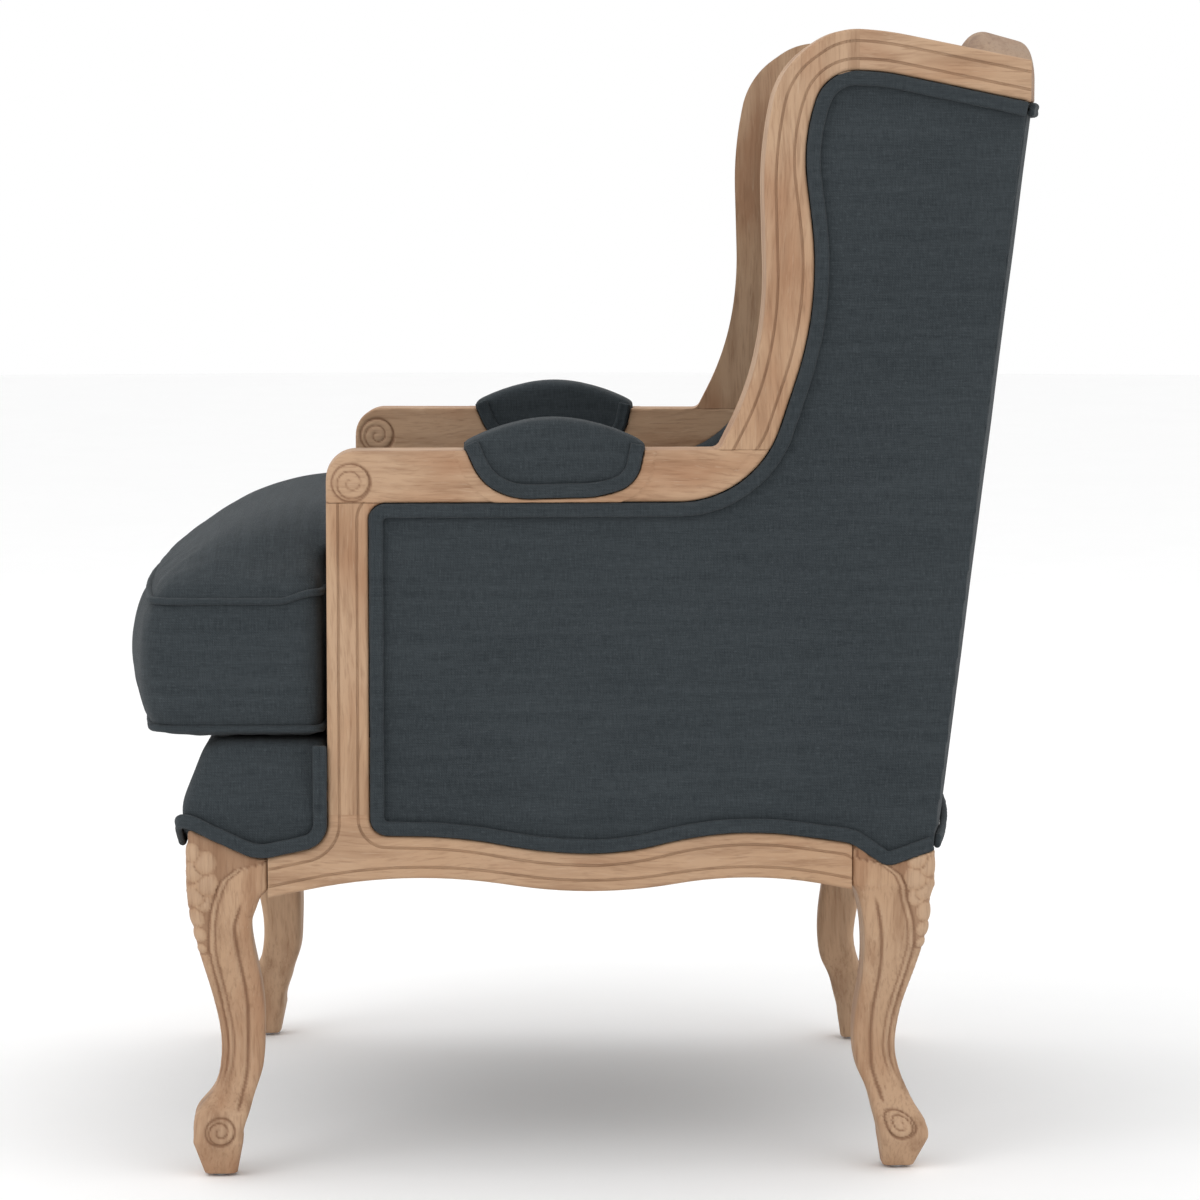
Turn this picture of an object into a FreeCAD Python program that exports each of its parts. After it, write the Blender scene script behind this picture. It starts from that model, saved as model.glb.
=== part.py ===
"""Bergere armchair with a limed show-wood frame, tight linen upholstery and a loose T cushion.

Millimetres. The chair looks along -Y, the sitter's left is +X and up is +Z. The origin is on the
floor, under the middle of the chair. The side frames stand slightly splayed, wider at the front:
every side piece is drawn flat, as Y and Z, on the outer face of the left side, where a depth
counts inwards from that face, and the right side is its mirror image.
"""
import FreeCAD, Part
import math
import os

from FreeCAD import Placement, Rotation, Vector

SIZES = [
    # overall
    ("overall_depth", 836, "cushion front to crest back"),
    ("side_half_width", 350, "middle to the outer face of a side, at the arm post"),
    ("side_splay", 2.5, "degrees that a side is turned in plan"),
    ("arm_top", 647, "floor to the top of the arm"),
    ("wing_top", 1013, "floor to the highest point of a wing"),
    ("corner_drop", 26, "highest point of a wing to the top of the back corner"),
    ("crest_rise", 32, "hump of the crest above the back corners"),
    ("crest_bow", 25, "bow of the back in plan"),
    ("crest_behind", 4, "crest behind the back corners"),
    ("back_lean", 78, "lean of the back, from show rail to crest"),
    # show wood
    ("side_thickness", 44, "thickness of the side frames"),
    ("post_setback", 124, "leg front to arm post front"),
    ("post_width", 37, "arm post, front to back"),
    ("arm_rail_height", 46, "arm rail, top to bottom"),
    ("top_rail_height", 36, "wing top rail, top to bottom"),
    ("apron_low", 250, "floor to the lowest control line of the apron"),
    ("apron_height", 57, "control line of the apron to the lower edge of the side fabric"),
    ("apron_thickness", 24, "shaped outer layer of the seat rails"),
    ("rebate", 10, "rebate of the rails behind the fabric"),
    ("rail_lift", 30, "control line of the apron to the flat underside of the seat rails"),
    ("rail_height", 65, "seat rails, top to bottom"),
    ("edge_round", 3.5, "rounding of the show-wood edges"),
    ("groove_inset", 9, "edge to the moulding groove"),
    ("groove_width", 2.5, "moulding groove"),
    ("groove_depth", 1.6, "moulding groove"),
    ("volute_radius", 16, "scroll disc on the arm tip"),
    ("volute_height", 1.5, "scroll disc above the outer face"),
    ("crest_depth", 58, "crest rail, front to back"),
    ("crest_round", 16, "rounding of the crest's front edge"),
    ("border_width", 10, "raised border of the arm rail round the arm pad"),
    ("border_height", 1.5, "raised border above the outer face"),
    # legs
    ("cushion_overhang", 67, "cushion front to leg front"),
    ("front_knee", 71, "front leg at the seat rail"),
    ("back_knee", 74, "back leg at the seat rail"),
    ("leg_corner", 7, "rounding of the leg corners"),
    ("glide_radius", 8, "foot glide"),
    ("glide_height", 2.5, "foot glide below the wood"),
    ("glide_pin_radius", 1.8, "foot glide nail"),
    ("glide_pin_length", 18, "foot glide nail"),
    # hidden frame
    ("stile_depth", 40, "back stile, front to back"),
    ("liner_thickness", 22, "liner rails"),
    ("liner_height", 38, "liner rails"),
    ("block_length", 75, "corner block along each rail"),
    ("block_margin", 6, "corner block below the rail top and above the rail bottom"),
    ("screw_radius", 2.5, "corner block screw"),
    ("screw_head_radius", 4.5, "corner block screw head"),
    ("screw_length", 45, "corner block screw"),
    ("dowel_radius", 4, "frame dowel"),
    ("dowel_length", 36, "frame dowel"),
    # springing
    ("spring_count", 5, "sinuous springs"),
    ("spring_wire_radius", 1.9, "spring wire"),
    ("spring_pitch", 24, "one bar of a spring to the next"),
    ("spring_width", 52, "spring, side to side"),
    ("clip_width", 16, "spring clip"),
    ("clip_wall", 1.2, "spring clip steel"),
    ("hessian", 1.2, "hessian over the springs"),
    ("dust_cover", 1.0, "cloth under the seat"),
    ("tack_radius", 3.5, "tack head"),
    ("tack_height", 1.0, "tack head"),
    ("webbing_width", 50, "back webbing strap"),
    ("webbing_thickness", 1.5, "back webbing strap"),
    # fixed upholstery
    ("deck_height", 45, "seat rails to the top of the seat deck"),
    ("nose_proud", 4.5, "front pad ahead of the front legs"),
    ("nose_corner", 18, "rounding of the front pad's corners in plan"),
    ("panel_recess", 4, "side fabric behind the outer face of the wood"),
    ("panel_thickness", 5, "outside panels"),
    ("welt_radius", 3.3, "one cord of the double welt"),
    ("inside_pad_start", 26, "depth of the back of the inside pads"),
    ("inside_pad_end", 74, "depth of the face of the inside pads"),
    ("pad_round", 12, "rounding of the inside pads"),
    ("back_pad_thickness", 66, "inside back pad"),
    ("arm_pad_start", 121, "post front to the arm pad"),
    ("arm_pad_length", 159, "arm pad, front to back"),
    ("arm_pad_rise", 25, "arm pad crown above the arm"),
    ("arm_pad_drop", 43, "arm pad below the arm top"),
    ("arm_pad_recess", 2, "arm pad behind the outer face of the wood"),
    ("arm_core_inset", 7, "arm core under the pad, from either face"),
    # loose cushion
    ("seam_lift", 10, "seat deck to the lower cushion seam"),
    ("boxing_height", 113, "lower to upper cushion seam"),
    ("cushion_crown", 78, "upper seam to the crown"),
    ("cushion_bulge", 16, "bulge of the cushion front"),
    ("cushion_bow", 19, "bow of the cushion front in plan"),
    ("ear_setback", 18, "outer face of a side to the side of a cushion ear"),
    ("ear_gap", 5, "cushion ear in front of the post"),
    ("cushion_side_gap", 3, "cushion seam beside the inside pads"),
    ("cushion_length", 579, "corner of the front seam to the back seam"),
    ("cushion_wall", 4, "cushion cover and its down-proof lining"),
    ("filling_gap", 2.5, "cushion filling inside the sides and top of its cover"),
    ("piping_radius", 3.5, "cushion piping"),
    ("zip_length", 420, "zip in the back of the cushion"),
    ("zip_width", 24, "zip tape"),
    ("zip_thickness", 1.2, "zip tape"),
    ("slider_length", 9, "zip slider"),
    ("slider_height", 12, "zip slider"),
    ("slider_thickness", 4, "zip slider"),
    # clearances
    ("cloth_gap", 0.3, "soft pieces beside their neighbours"),
]

doc = FreeCAD.newDocument("Bergere")
sheet = doc.addObject("Spreadsheet::Sheet", "Sizes")
for row, (alias, value, meaning) in enumerate(SIZES, 1):
    sheet.set(f"A{row}", alias)
    sheet.set(f"B{row}", str(value))
    sheet.set(f"C{row}", meaning)
    sheet.setAlias(f"B{row}", alias)
doc.recompute()


class Read:
    """The sheet's values as attributes."""

    def __getattr__(self, alias):
        return float(sheet.get(alias))


size = Read()
nodes = {}

# places worked out from the sizes: along the side (Y) and up (Z)
CUSHION_FRONT = -size.overall_depth / 2
LEG_FRONT = CUSHION_FRONT + size.cushion_overhang
FRONT_JOINT = LEG_FRONT + size.front_knee
POST_FRONT = LEG_FRONT + size.post_setback
POST_BACK = POST_FRONT + size.post_width
BACK_TOP = size.overall_depth / 2 - size.crest_bow - size.crest_behind
BACK_LOW = BACK_TOP - size.back_lean
BACK_JOINT = BACK_LOW - size.back_knee
ARM_LOW = size.arm_top - size.arm_rail_height
BACK_CORNER = size.wing_top - size.corner_drop
FABRIC_TOP = BACK_CORNER - size.top_rail_height
SHOW_LINE = size.apron_low + size.apron_height
POST_FOOT = SHOW_LINE + 19
SHOW_BACK = SHOW_LINE - 17
RAIL_BOTTOM = size.apron_low + size.rail_lift
RAIL_TOP = RAIL_BOTTOM + size.rail_height
DECK_TOP = RAIL_TOP + size.deck_height
SEAM_LOW = DECK_TOP + size.seam_lift
SEAM_TOP = SEAM_LOW + size.boxing_height
FAR = 2000.0


# outlines

def rounded(points, inset=0.0, closed=True):
    """Lines and arcs along a polygon of (a, b, radius) corners, moved inwards by inset.

    A radius of None takes all the room that the two runs beside the corner leave.
    """
    count = len(points)
    corners = [Vector(a, b, 0) for a, b, _ in points]
    area = sum(corners[i - 1].x * corners[i].y - corners[i].x * corners[i - 1].y
               for i in range(count))
    hand = -1.0 if closed and area < 0 else 1.0
    runs = [corners[(i + 1) % count] - corners[i] for i in range(count)]
    ways = [Vector(run).normalize() for run in runs]
    normals = [Vector(-way.y, way.x, 0) for way in ways]
    half = [0.0] * count
    turn_sign = [0.0] * count
    for i in range(count):
        if closed or 0 < i < count - 1:
            turn = math.atan2(normals[i - 1].dot(ways[i]), ways[i - 1].dot(ways[i]))
            half[i] = abs(turn) / 2
            turn_sign[i] = math.copysign(1.0, turn)
    straight = [h < 1e-6 for h in half]
    setback = [0.0 if straight[i] or points[i][2] is None else points[i][2] * math.tan(half[i])
               for i in range(count)]
    free = [points[i][2] is None and not straight[i] for i in range(count)]
    for i in range(count):
        if free[i]:
            room = []
            for run, near in ((runs[i - 1], i - 1), (runs[i], (i + 1) % count)):
                room.append(run.Length / 2 if free[near] else run.Length - setback[near])
            setback[i] = max(min(room), 0.1)
    pieces = []
    starts = []
    ends = []
    for i in range(count):
        before = normals[i - 1] * hand
        after = normals[i] * hand
        if setback[i] < 1e-9:
            if not closed and i == 0:
                place = corners[i] + after * inset
            elif not closed and i == count - 1:
                place = corners[i] + before * inset
            else:
                place = corners[i] + (before + after) * (inset / (1 + before.dot(after)))
            starts.append(place)
            ends.append(place)
            continue
        radius = setback[i] / math.tan(half[i])
        sign = turn_sign[i]
        centre = corners[i] - ways[i - 1] * setback[i] + normals[i - 1] * (sign * radius)
        moved = max(radius - inset * sign * hand, 0.3)
        start = centre - normals[i - 1] * (sign * moved)
        end = centre - normals[i] * (sign * moved)
        middle = centre + (corners[i] - centre).normalize() * moved
        starts.append(start)
        ends.append(end)
        pieces.append((i, Part.Arc(start, middle, end)))
    for i in range(count if closed else count - 1):
        after = (i + 1) % count
        if runs[i].Length - setback[i] - setback[after] > 1e-4:
            pieces.append((i + 0.5, Part.LineSegment(ends[i], starts[after])))
    return [piece for _, piece in sorted(pieces, key=lambda pair: pair[0])]


def box_outline(a0, a1, b0, b1, radius=0.0):
    return [(a0, b0, radius), (a1, b0, radius), (a1, b1, radius), (a0, b1, radius)]


def shifted(points, inset):
    """An open polygon of (a, b, radius) corners moved to its left, its radii kept parallel."""
    corners = [Vector(a, b, 0) for a, b, _ in points]
    ways = [(after - before).normalize() for before, after in zip(corners, corners[1:])]
    normals = [Vector(-way.y, way.x, 0) for way in ways]
    moved = []
    for i, (corner, (_, _, radius)) in enumerate(zip(corners, points)):
        before = normals[max(i - 1, 0)]
        after = normals[min(i, len(normals) - 1)]
        place = corner + (before + after) * (inset / (1 + before.dot(after)))
        if radius:
            radius -= math.copysign(inset, before.cross(after).z)
        moved.append((place.x, place.y, radius))
    return moved


def height_at(first, second, a):
    """Height at a on the line through two corners."""
    return first[1] + (a - first[0]) * (second[1] - first[1]) / (second[0] - first[0])


def bent_path(corners):
    """Lines and arcs in space along (point, radius) corners; None takes the room there is."""
    points = [Vector(point) for point, _ in corners]
    radii = [radius for _, radius in corners]
    runs = [after - before for before, after in zip(points, points[1:])]
    inner = range(1, len(points) - 1)
    half = {i: runs[i - 1].getAngle(runs[i]) / 2 for i in inner}
    setback = [0.0] * len(points)
    for i in inner:
        if radii[i]:
            setback[i] = radii[i] * math.tan(half[i])
    for i in inner:
        if radii[i] is None:
            room = [runs[i - 1].Length / 2 if radii[i - 1] is None
                    else runs[i - 1].Length - setback[i - 1],
                    runs[i].Length / 2 if radii[i + 1] is None
                    else runs[i].Length - setback[i + 1]]
            setback[i] = min(room)
    edges = []
    place = points[0]
    for i in range(1, len(points)):
        before = Vector(runs[i - 1]).normalize()
        start = points[i] - before * setback[i]
        if start.distanceToPoint(place) > 1e-4:
            edges.append(Part.LineSegment(place, start))
        place = start
        if setback[i] > 1e-6 and half[i] > 1e-4:
            after = Vector(runs[i]).normalize()
            radius = setback[i] / math.tan(half[i])
            inwards = (after - before).normalize()
            middle = points[i] + inwards * (radius / math.cos(half[i]) - radius)
            place = points[i] + after * setback[i]
            edges.append(Part.Arc(start, middle, place))
    return Part.Wire([edge.toShape() for edge in edges])


# documents objects

def side_placement():
    """The left side frame: turned about the foot of its arm post."""
    return Placement(Vector(size.side_half_width, 0, 0),
                     Rotation(Vector(0, 0, 1), size.side_splay), Vector(0, POST_FRONT, 0))


def on_side(depth, y, z=0.0):
    """A point of the left side frame in the chair's own axes."""
    return side_placement().multVec(Vector(-depth, y, z))


def side_x(depth, y):
    return on_side(depth, y).x


def plane_of(body, role):
    return next(feature for feature in body.Origin.OriginFeatures if feature.Role == role)


def new_body(label, placement=None):
    body = doc.addObject("PartDesign::Body", label)
    body.Label = label
    if placement is not None:
        body.Placement = placement
    return body


def new_sketch(body, role, offset, *outlines):
    sketch = body.newObject("Sketcher::SketchObject", "Outline")
    sketch.AttachmentSupport = [(plane_of(body, role), "")]
    sketch.MapMode = "FlatFace"
    sketch.AttachmentOffset = Placement(Vector(0, 0, offset), Rotation())
    for outline in outlines:
        sketch.addGeometry(outline, False)
    return sketch


def bind(thing, **cells):
    """Ties properties to formulas of the sheet's cells."""
    for name, formula in cells.items():
        thing.setExpression(name, formula)


def add_pad(body, role, offset, length, *outlines, backwards=False):
    """A pad whose length is a formula of the sheet's cells, or a number."""
    pad = body.newObject("PartDesign::Pad", "Pad")
    pad.Profile = new_sketch(body, role, offset, *outlines)
    pad.Reversed = backwards
    if isinstance(length, str):
        bind(pad, Length=length)
    else:
        pad.Length = length
    return pad


def add_loft(body, role, levels, kind="AdditiveLoft", ruled=False):
    """A smooth or ruled loft through (offset, outline) levels."""
    loft = body.newObject(f"PartDesign::{kind}", "Loft")
    loft.Ruled = ruled
    sketches = [new_sketch(body, role, offset, outline) for offset, outline in levels]
    loft.Profile = sketches[0]
    loft.Sections = sketches[1:]
    return loft


def side_plate(label, depth, thickness, *outlines):
    """A flat piece of the left side, its outer face at a depth, its thickness a formula."""
    body = new_body(label, side_placement())
    add_pad(body, "YZ_Plane", -depth, thickness, *outlines, backwards=True)
    return body


def box(label, low, high, placement=None):
    """A block between two corners, in the chair's axes or in a placement's."""
    block = doc.addObject("Part::Box", label)
    block.Label = label
    block.Length = high[0] - low[0]
    block.Width = high[1] - low[1]
    block.Height = high[2] - low[2]
    moved = Placement(Vector(*low), Rotation())
    block.Placement = moved if placement is None else placement.multiply(moved)
    return block


def side_box(label, depths, along, heights):
    return box(label, (-depths[1], along[0], heights[0]), (-depths[0], along[1], heights[1]),
               side_placement())


def common(label, base, tool):
    result = doc.addObject("Part::Common", label)
    result.Label = label
    result.Base = base
    result.Tool = tool
    return result


def cut(label, base, *tools):
    for number, tool in enumerate(tools, 1):
        result = doc.addObject("Part::Cut", label)
        result.Label = label if number == len(tools) else f"{label} cut {number}"
        result.Base = base
        result.Tool = tool
        base = result
    return base


def fuse(label, *shapes):
    result = doc.addObject("Part::MultiFuse", label)
    result.Label = label
    result.Shapes = list(shapes)
    return result


def mirror(label, source):
    result = doc.addObject("Part::Mirroring", label)
    result.Label = label
    result.Source = source
    result.Normal = Vector(1, 0, 0)
    return result


def shaped(label, shape, placement=None):
    """A piece whose form is worked out here, from the sheet's values."""
    feature = doc.addObject("Part::Feature", label)
    feature.Label = label
    feature.Shape = shape
    if placement is not None:
        feature.Placement = placement
    return feature


def keep(name, thing):
    thing.Label = name
    nodes[name] = thing
    return thing


def keep_pair(name, left):
    """The left piece and its mirror image."""
    keep(f"{name}_left", left)
    keep(f"{name}_right", mirror(f"{name}_right", left))


def to_side_plane(edges, depth):
    """Flat (Y, Z) edges, laid on the left side at a depth."""
    wire = Part.Wire([edge.toShape() for edge in edges])
    turn = Rotation(Vector(0, 1, 0), Vector(0, 0, 1), Vector(1, 0, 0), "XYZ")
    wire.Placement = side_placement().multiply(Placement(Vector(-depth, 0, 0), turn))
    return wire


def welt_along(path, face_normal):
    """A double welt: two cords side by side along a path, lying on a face."""
    radius = size.welt_radius
    reach = radius * 0.94
    notch = math.sqrt(radius * radius - reach * reach)
    first = path.OrderedEdges[0]
    start = first.valueAt(first.FirstParameter)
    if path.OrderedVertexes[0].Point.distanceToPoint(start) > 1e-6:
        start = first.valueAt(first.LastParameter)
    along = first.tangentAt(first.FirstParameter)
    across = along.cross(face_normal).normalize()

    def at(sideways, up):
        return start + across * sideways + face_normal * up

    outer = reach + radius
    section = Part.Wire([
        Part.Arc(at(0, notch), at(outer, 0), at(0, -notch)).toShape(),
        Part.Arc(at(0, -notch), at(-outer, 0), at(0, notch)).toShape(),
    ])
    return path.makePipeShell([section], True, False)


def tube_along(path, radius):
    first = path.OrderedEdges[0]
    start = first.valueAt(first.FirstParameter)
    section = Part.Wire([Part.Circle(start, first.tangentAt(first.FirstParameter), radius).toShape()])
    return path.makePipeShell([section], True, False)


# the lines that the show wood and the fabric share

def apron_line():
    """Lower edge of the side rail, from beyond the back joint to beyond the front one."""
    low = size.apron_low
    return [
        (BACK_JOINT + 25, low, 0),
        (BACK_LOW - 161, low + 23, None),
        ((BACK_LOW + POST_BACK) / 2 - 50, low, None),
        (POST_BACK + 30, low + 26, None),
        (FRONT_JOINT - 25, low - 3, 0),
    ]


def nose_line():
    """Lower edge of the front pad on the side, from ahead of the leg to the post."""
    return [
        (LEG_FRONT - 40, SHOW_LINE + 26, 0),
        (LEG_FRONT + 16, SHOW_LINE, None),
        (FRONT_JOINT - 10, SHOW_LINE - 21, 45),
        (POST_FRONT, SHOW_LINE - 8, 24),
    ]


def fabric_top_line(end_y, end_z):
    """Edge of the side fabric, from the foot of the arm post over the arm to the back corner."""
    return [
        (POST_BACK, SHOW_LINE, 16),
        (POST_BACK, ARM_LOW, 15),
        (BACK_LOW - 161, ARM_LOW, 94),
        (BACK_LOW - 103, ARM_LOW + 174, None),
        (BACK_LOW - 121, size.wing_top - 95, None),
        (BACK_LOW - 100, size.wing_top - size.top_rail_height + 1, 37),
        (BACK_LOW - 53, size.wing_top - size.top_rail_height + 1, None),
        (end_y, end_z, 0),
    ]


def fabric_low_line():
    """Edge of the side fabric, from near the back leg to the foot of the arm post."""
    line = SHOW_LINE
    return [
        (BACK_LOW - 75, line - 10, 30),
        (BACK_LOW - 151, line + 1, None),
        (BACK_LOW - 211, line - 2, None),
        ((BACK_LOW + POST_BACK) / 2 - 30, line - 19, None),
        (POST_BACK + 150, line - 16, None),
        (POST_BACK + 80, line - 2, None),
    ]


def wing_line():
    """Front and top edge of the side frame, from the arm tip to the back corner."""
    top = size.wing_top
    arm = size.arm_top
    return [
        (POST_FRONT, arm, 27),
        (BACK_LOW - 192, arm, 8),
        (BACK_LOW - 165, arm + 53, None),
        (BACK_LOW - 151, arm + 125, None),
        (BACK_LOW - 155, top - 107, None),
        (BACK_LOW - 141, top - 33, None),
        (BACK_LOW - 91, top + 2, None),
        (BACK_LOW - 49, top, None),
        (BACK_TOP + 23, BACK_CORNER - 4, 0),
    ]


def panel_outline(back_trim):
    """The whole side fabric, its back edge moved forward by a trim."""
    line = fabric_top_line(BACK_TOP - back_trim, FABRIC_TOP)
    back = [(BACK_LOW - back_trim, SHOW_BACK, 0), (BACK_LOW - 43, SHOW_BACK - 15, 16)]
    return line + back + fabric_low_line()


def side_frame_outline():
    """The C of show wood: apron, post, arm, wing and top rail in one line."""
    nose = nose_line()
    nose_start = FRONT_JOINT - 25
    back_end = BACK_JOINT + 25
    low = fabric_low_line()
    fabric_end = height_at((BACK_LOW - 43, SHOW_BACK - 15), low[0], back_end)
    return (apron_line()
            + [(nose_start, height_at(nose[1], nose[2], nose_start), 0)] + nose[2:]
            + wing_line()
            + list(reversed(fabric_top_line(BACK_TOP + 20, FABRIC_TOP - 4)))
            + list(reversed(low))
            + [(back_end, fabric_end, 0)])


# side frames

def side_blank():
    """All the show wood of the left side, moulded, before it is cut into its pieces."""
    outline = side_frame_outline()
    body = new_body("side blank", side_placement())
    add_pad(body, "YZ_Plane", 0, "Sizes.side_thickness", rounded(outline), backwards=True)
    doc.recompute()
    pad = body.Tip
    rims = [f"Edge{i}" for i, edge in enumerate(pad.Shape.Edges, 1)
            if all(abs(vertex.X) < 1e-6 for vertex in edge.Vertexes)]
    fillet = body.newObject("PartDesign::Fillet", "Rim")
    fillet.Base = (pad, rims)
    bind(fillet, Radius="Sizes.edge_round")
    around = side_plate("groove outside", -1, "Sizes.groove_depth + 1",
                        rounded(outline, size.groove_inset))
    inside = side_plate("groove inside", -2, "Sizes.groove_depth + 3",
                        rounded(outline, size.groove_inset + size.groove_width))
    return cut("side moulded", body, cut("moulding groove", around, inside))


def side_frames():
    blank = side_blank()
    depth = (-10, size.side_thickness + 10)

    def piece(name, along, heights):
        return common(name, blank, side_box(f"{name} region", depth, along, heights))

    post = piece("arm_post", (POST_FRONT - 20, POST_BACK + 30), (POST_FOOT, ARM_LOW))
    wing = piece("wing_rail", (POST_BACK, BACK_LOW - 71), (size.arm_top, FAR))
    top = piece("wing_top_rail", (BACK_LOW - 71, BACK_TOP + 2), (size.arm_top, FAR))
    arm = piece("arm_rail", (POST_FRONT - 20, BACK_LOW), (ARM_LOW, size.arm_top))
    rail = piece("apron", (FRONT_JOINT, BACK_JOINT), (0, POST_FOOT))
    return post, arm, wing, top, rail


def arm_pad_outline():
    start = POST_FRONT + size.arm_pad_start
    end = start + size.arm_pad_length
    low = size.arm_top - size.arm_pad_drop
    crown = size.arm_top + size.arm_pad_rise
    return [
        (start, size.arm_top + 4, 4),
        (start + 14, low + 15, None),
        (start + 42, low, None),
        (end - 38, low + 1.5, None),
        (end - 7, low + 13, None),
        (end, size.arm_top + 4, 4),
        (end - 25, crown - 8, None),
        ((start + end) / 2, crown + 4, None),
        (start + 26, crown - 8, None),
    ]


def arm_with_pad(arm):
    """The arm rail, cut away round its core, and the pad that fills the cut."""
    outline = arm_pad_outline()
    thickness = size.side_thickness
    zone = side_plate("arm pad zone", -10, thickness + 20, rounded(outline, -size.cloth_gap))
    core = side_box("arm core", (size.arm_core_inset, thickness - size.arm_core_inset),
                    (POST_FRONT, BACK_LOW), (ARM_LOW, size.arm_top - size.arm_core_inset))
    volute = doc.addObject("Part::Cylinder", "volute")
    bind(volute, Radius="Sizes.volute_radius", Height="Sizes.side_thickness/2 + Sizes.volute_height")
    centre = Vector(-thickness / 2, POST_FRONT + size.volute_radius + 4,
                    size.arm_top - size.volute_radius - 11)
    volute.Placement = side_placement().multiply(
        Placement(centre, Rotation(Vector(0, 1, 0), 90)))
    scroll = common("arm scroll", volute, side_box(
        "arm scroll region", (-10, thickness), (POST_FRONT - 20, BACK_LOW), (ARM_LOW, FAR)))
    plate = side_plate("arm border plate", -size.border_height, "Sizes.border_height + 4",
                       rounded(outline, -size.border_width))
    border = common("arm border", plate, side_box(
        "arm border region", (-10, thickness), (POST_FRONT, BACK_LOW), (ARM_LOW, size.arm_top)))
    notched = cut("arm notched", fuse("arm bordered", arm, border), cut("arm notch", zone, core))
    rail = fuse("arm with scroll", notched, scroll)
    body = new_body("arm pad form", side_placement())
    shallow = size.arm_pad_recess
    round_in = shallow + 6
    deep = thickness - shallow
    add_loft(body, "YZ_Plane", [
        (-shallow, rounded(outline, 2.5)),
        (-shallow - 2, rounded(outline, 0.8)),
        (-round_in, rounded(outline)),
    ])
    add_pad(body, "YZ_Plane", -round_in, deep - 6 - round_in, rounded(outline), backwards=True)
    add_loft(body, "YZ_Plane", [
        (-deep + 6, rounded(outline)),
        (-deep + 2, rounded(outline, 0.8)),
        (-deep, rounded(outline, 2.5)),
    ])
    pad = cut("arm pad", body, rail)
    edge = outline[:6]
    centre_line = size.welt_radius * 1.94 + 0.3
    above = size.welt_radius + 0.1
    welts = []
    for depth, normal in ((shallow - above, 1.0), (deep + above, -1.0)):
        path = to_side_plane(rounded(edge, centre_line, closed=False), depth)
        welts.append(welt_along(path, on_side(0, 0).sub(on_side(normal, 0))))
    return rail, pad, shaped("arm pad welt", Part.makeCompound(welts))


# legs

FRONT_LEG = [
    # height, front and back of the leg behind the knee front, as the side view shows them
    (0.0, 13, 42), (30.0, 3, 47.5), (56.0, 6, 53), (69.0, 17, 57), (80.0, 24, 61),
    (93.0, 27.5, 65), (115.0, 29, 67), (150.0, 24, 67), (177.0, 17, 63.5), (206.0, 9, 58),
    (235.0, 3, 58), (243.0, 1.5, 61), (252.0, 1.0, 64.5), (257.0, 0.7, 69),
]
BACK_LEG = [
    # height, back and front of the leg ahead of the back corner
    (0.0, 15, 43), (27.0, 3, 47), (47.0, 9, 51), (60.0, 16.5, 54), (74.0, 23, 59),
    (89.0, 28.5, 65), (104.0, 31, 67.5), (122.0, 30, 68), (142.0, 26.5, 66.5), (166.0, 19.5, 63),
    (192.0, 11.5, 61), (220.0, 5, 62), (243.0, 3.5, 66), (252.0, 2.5, 69), (257.0, 1.0, 72),
]
KNEE = 259.0  # height of the knee in the two tables, where the leg becomes a square block


def leg(label, table, corner_y, direction, knee, plinth):
    """A cabriole leg: square sections that swing in along the diagonal, with a rebated top.

    The table's two figures count from the corner, the same along the side and across it.
    """
    body = new_body(f"{label} form", side_placement())
    base = size.glide_height
    knee_height = size.apron_low + 9
    stretch = (knee_height - base) / KNEE

    def section(near, far):
        ys = sorted((corner_y + direction * near, corner_y + direction * far))
        return rounded(box_outline(-far, -near, ys[0], ys[1], size.leg_corner))

    levels = [(base + height * stretch, section(near, far)) for height, near, far in table]
    levels.append((knee_height, section(0, knee)))
    add_loft(body, "XY_Plane", levels[:2], ruled=True)
    add_loft(body, "XY_Plane", levels[1:])
    add_pad(body, "XY_Plane", knee_height, RAIL_TOP - knee_height, section(0, knee))
    hole = doc.addObject("Part::Cylinder", "glide hole")
    bind(hole, Radius="Sizes.glide_pin_radius", Height="Sizes.glide_pin_length")
    foot = (table[0][1] + table[0][2]) / 2
    hole.Placement = side_placement().multiply(
        Placement(Vector(-foot, corner_y + direction * foot, base), Rotation()))
    ends = sorted((corner_y + direction * knee, corner_y + direction * 3 * knee))
    inner = side_box(f"{label} inner clearance", (knee, 3 * knee), (-FAR, FAR), (0, knee_height))
    rear = side_box(f"{label} rail clearance", (-knee, 3 * knee), ends, (0, knee_height))
    return cut(label, body, hole, inner, rear, *plinth), (foot, corner_y + direction * foot)


def front_leg():
    """Front leg: its top is rebated for the front pad above the pad's lower edge."""
    above = nose_line()[:3] + [(POST_FRONT, SHOW_LINE - 21, 0), (POST_FRONT, FAR, 0),
                               (LEG_FRONT - 40, FAR, 0)]
    side_zone = side_plate("leg side rebate", -10, 10 + size.rebate, rounded(above))
    front = [(LEG_FRONT - y, z, r) for y, z, r in above]
    body = new_body("leg front rebate", side_placement())
    add_pad(body, "XZ_Plane", -(LEG_FRONT + size.rebate), 10 + size.rebate, rounded(front))
    return leg("front_leg", FRONT_LEG, LEG_FRONT, 1.0, size.front_knee, (side_zone, body))


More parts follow.
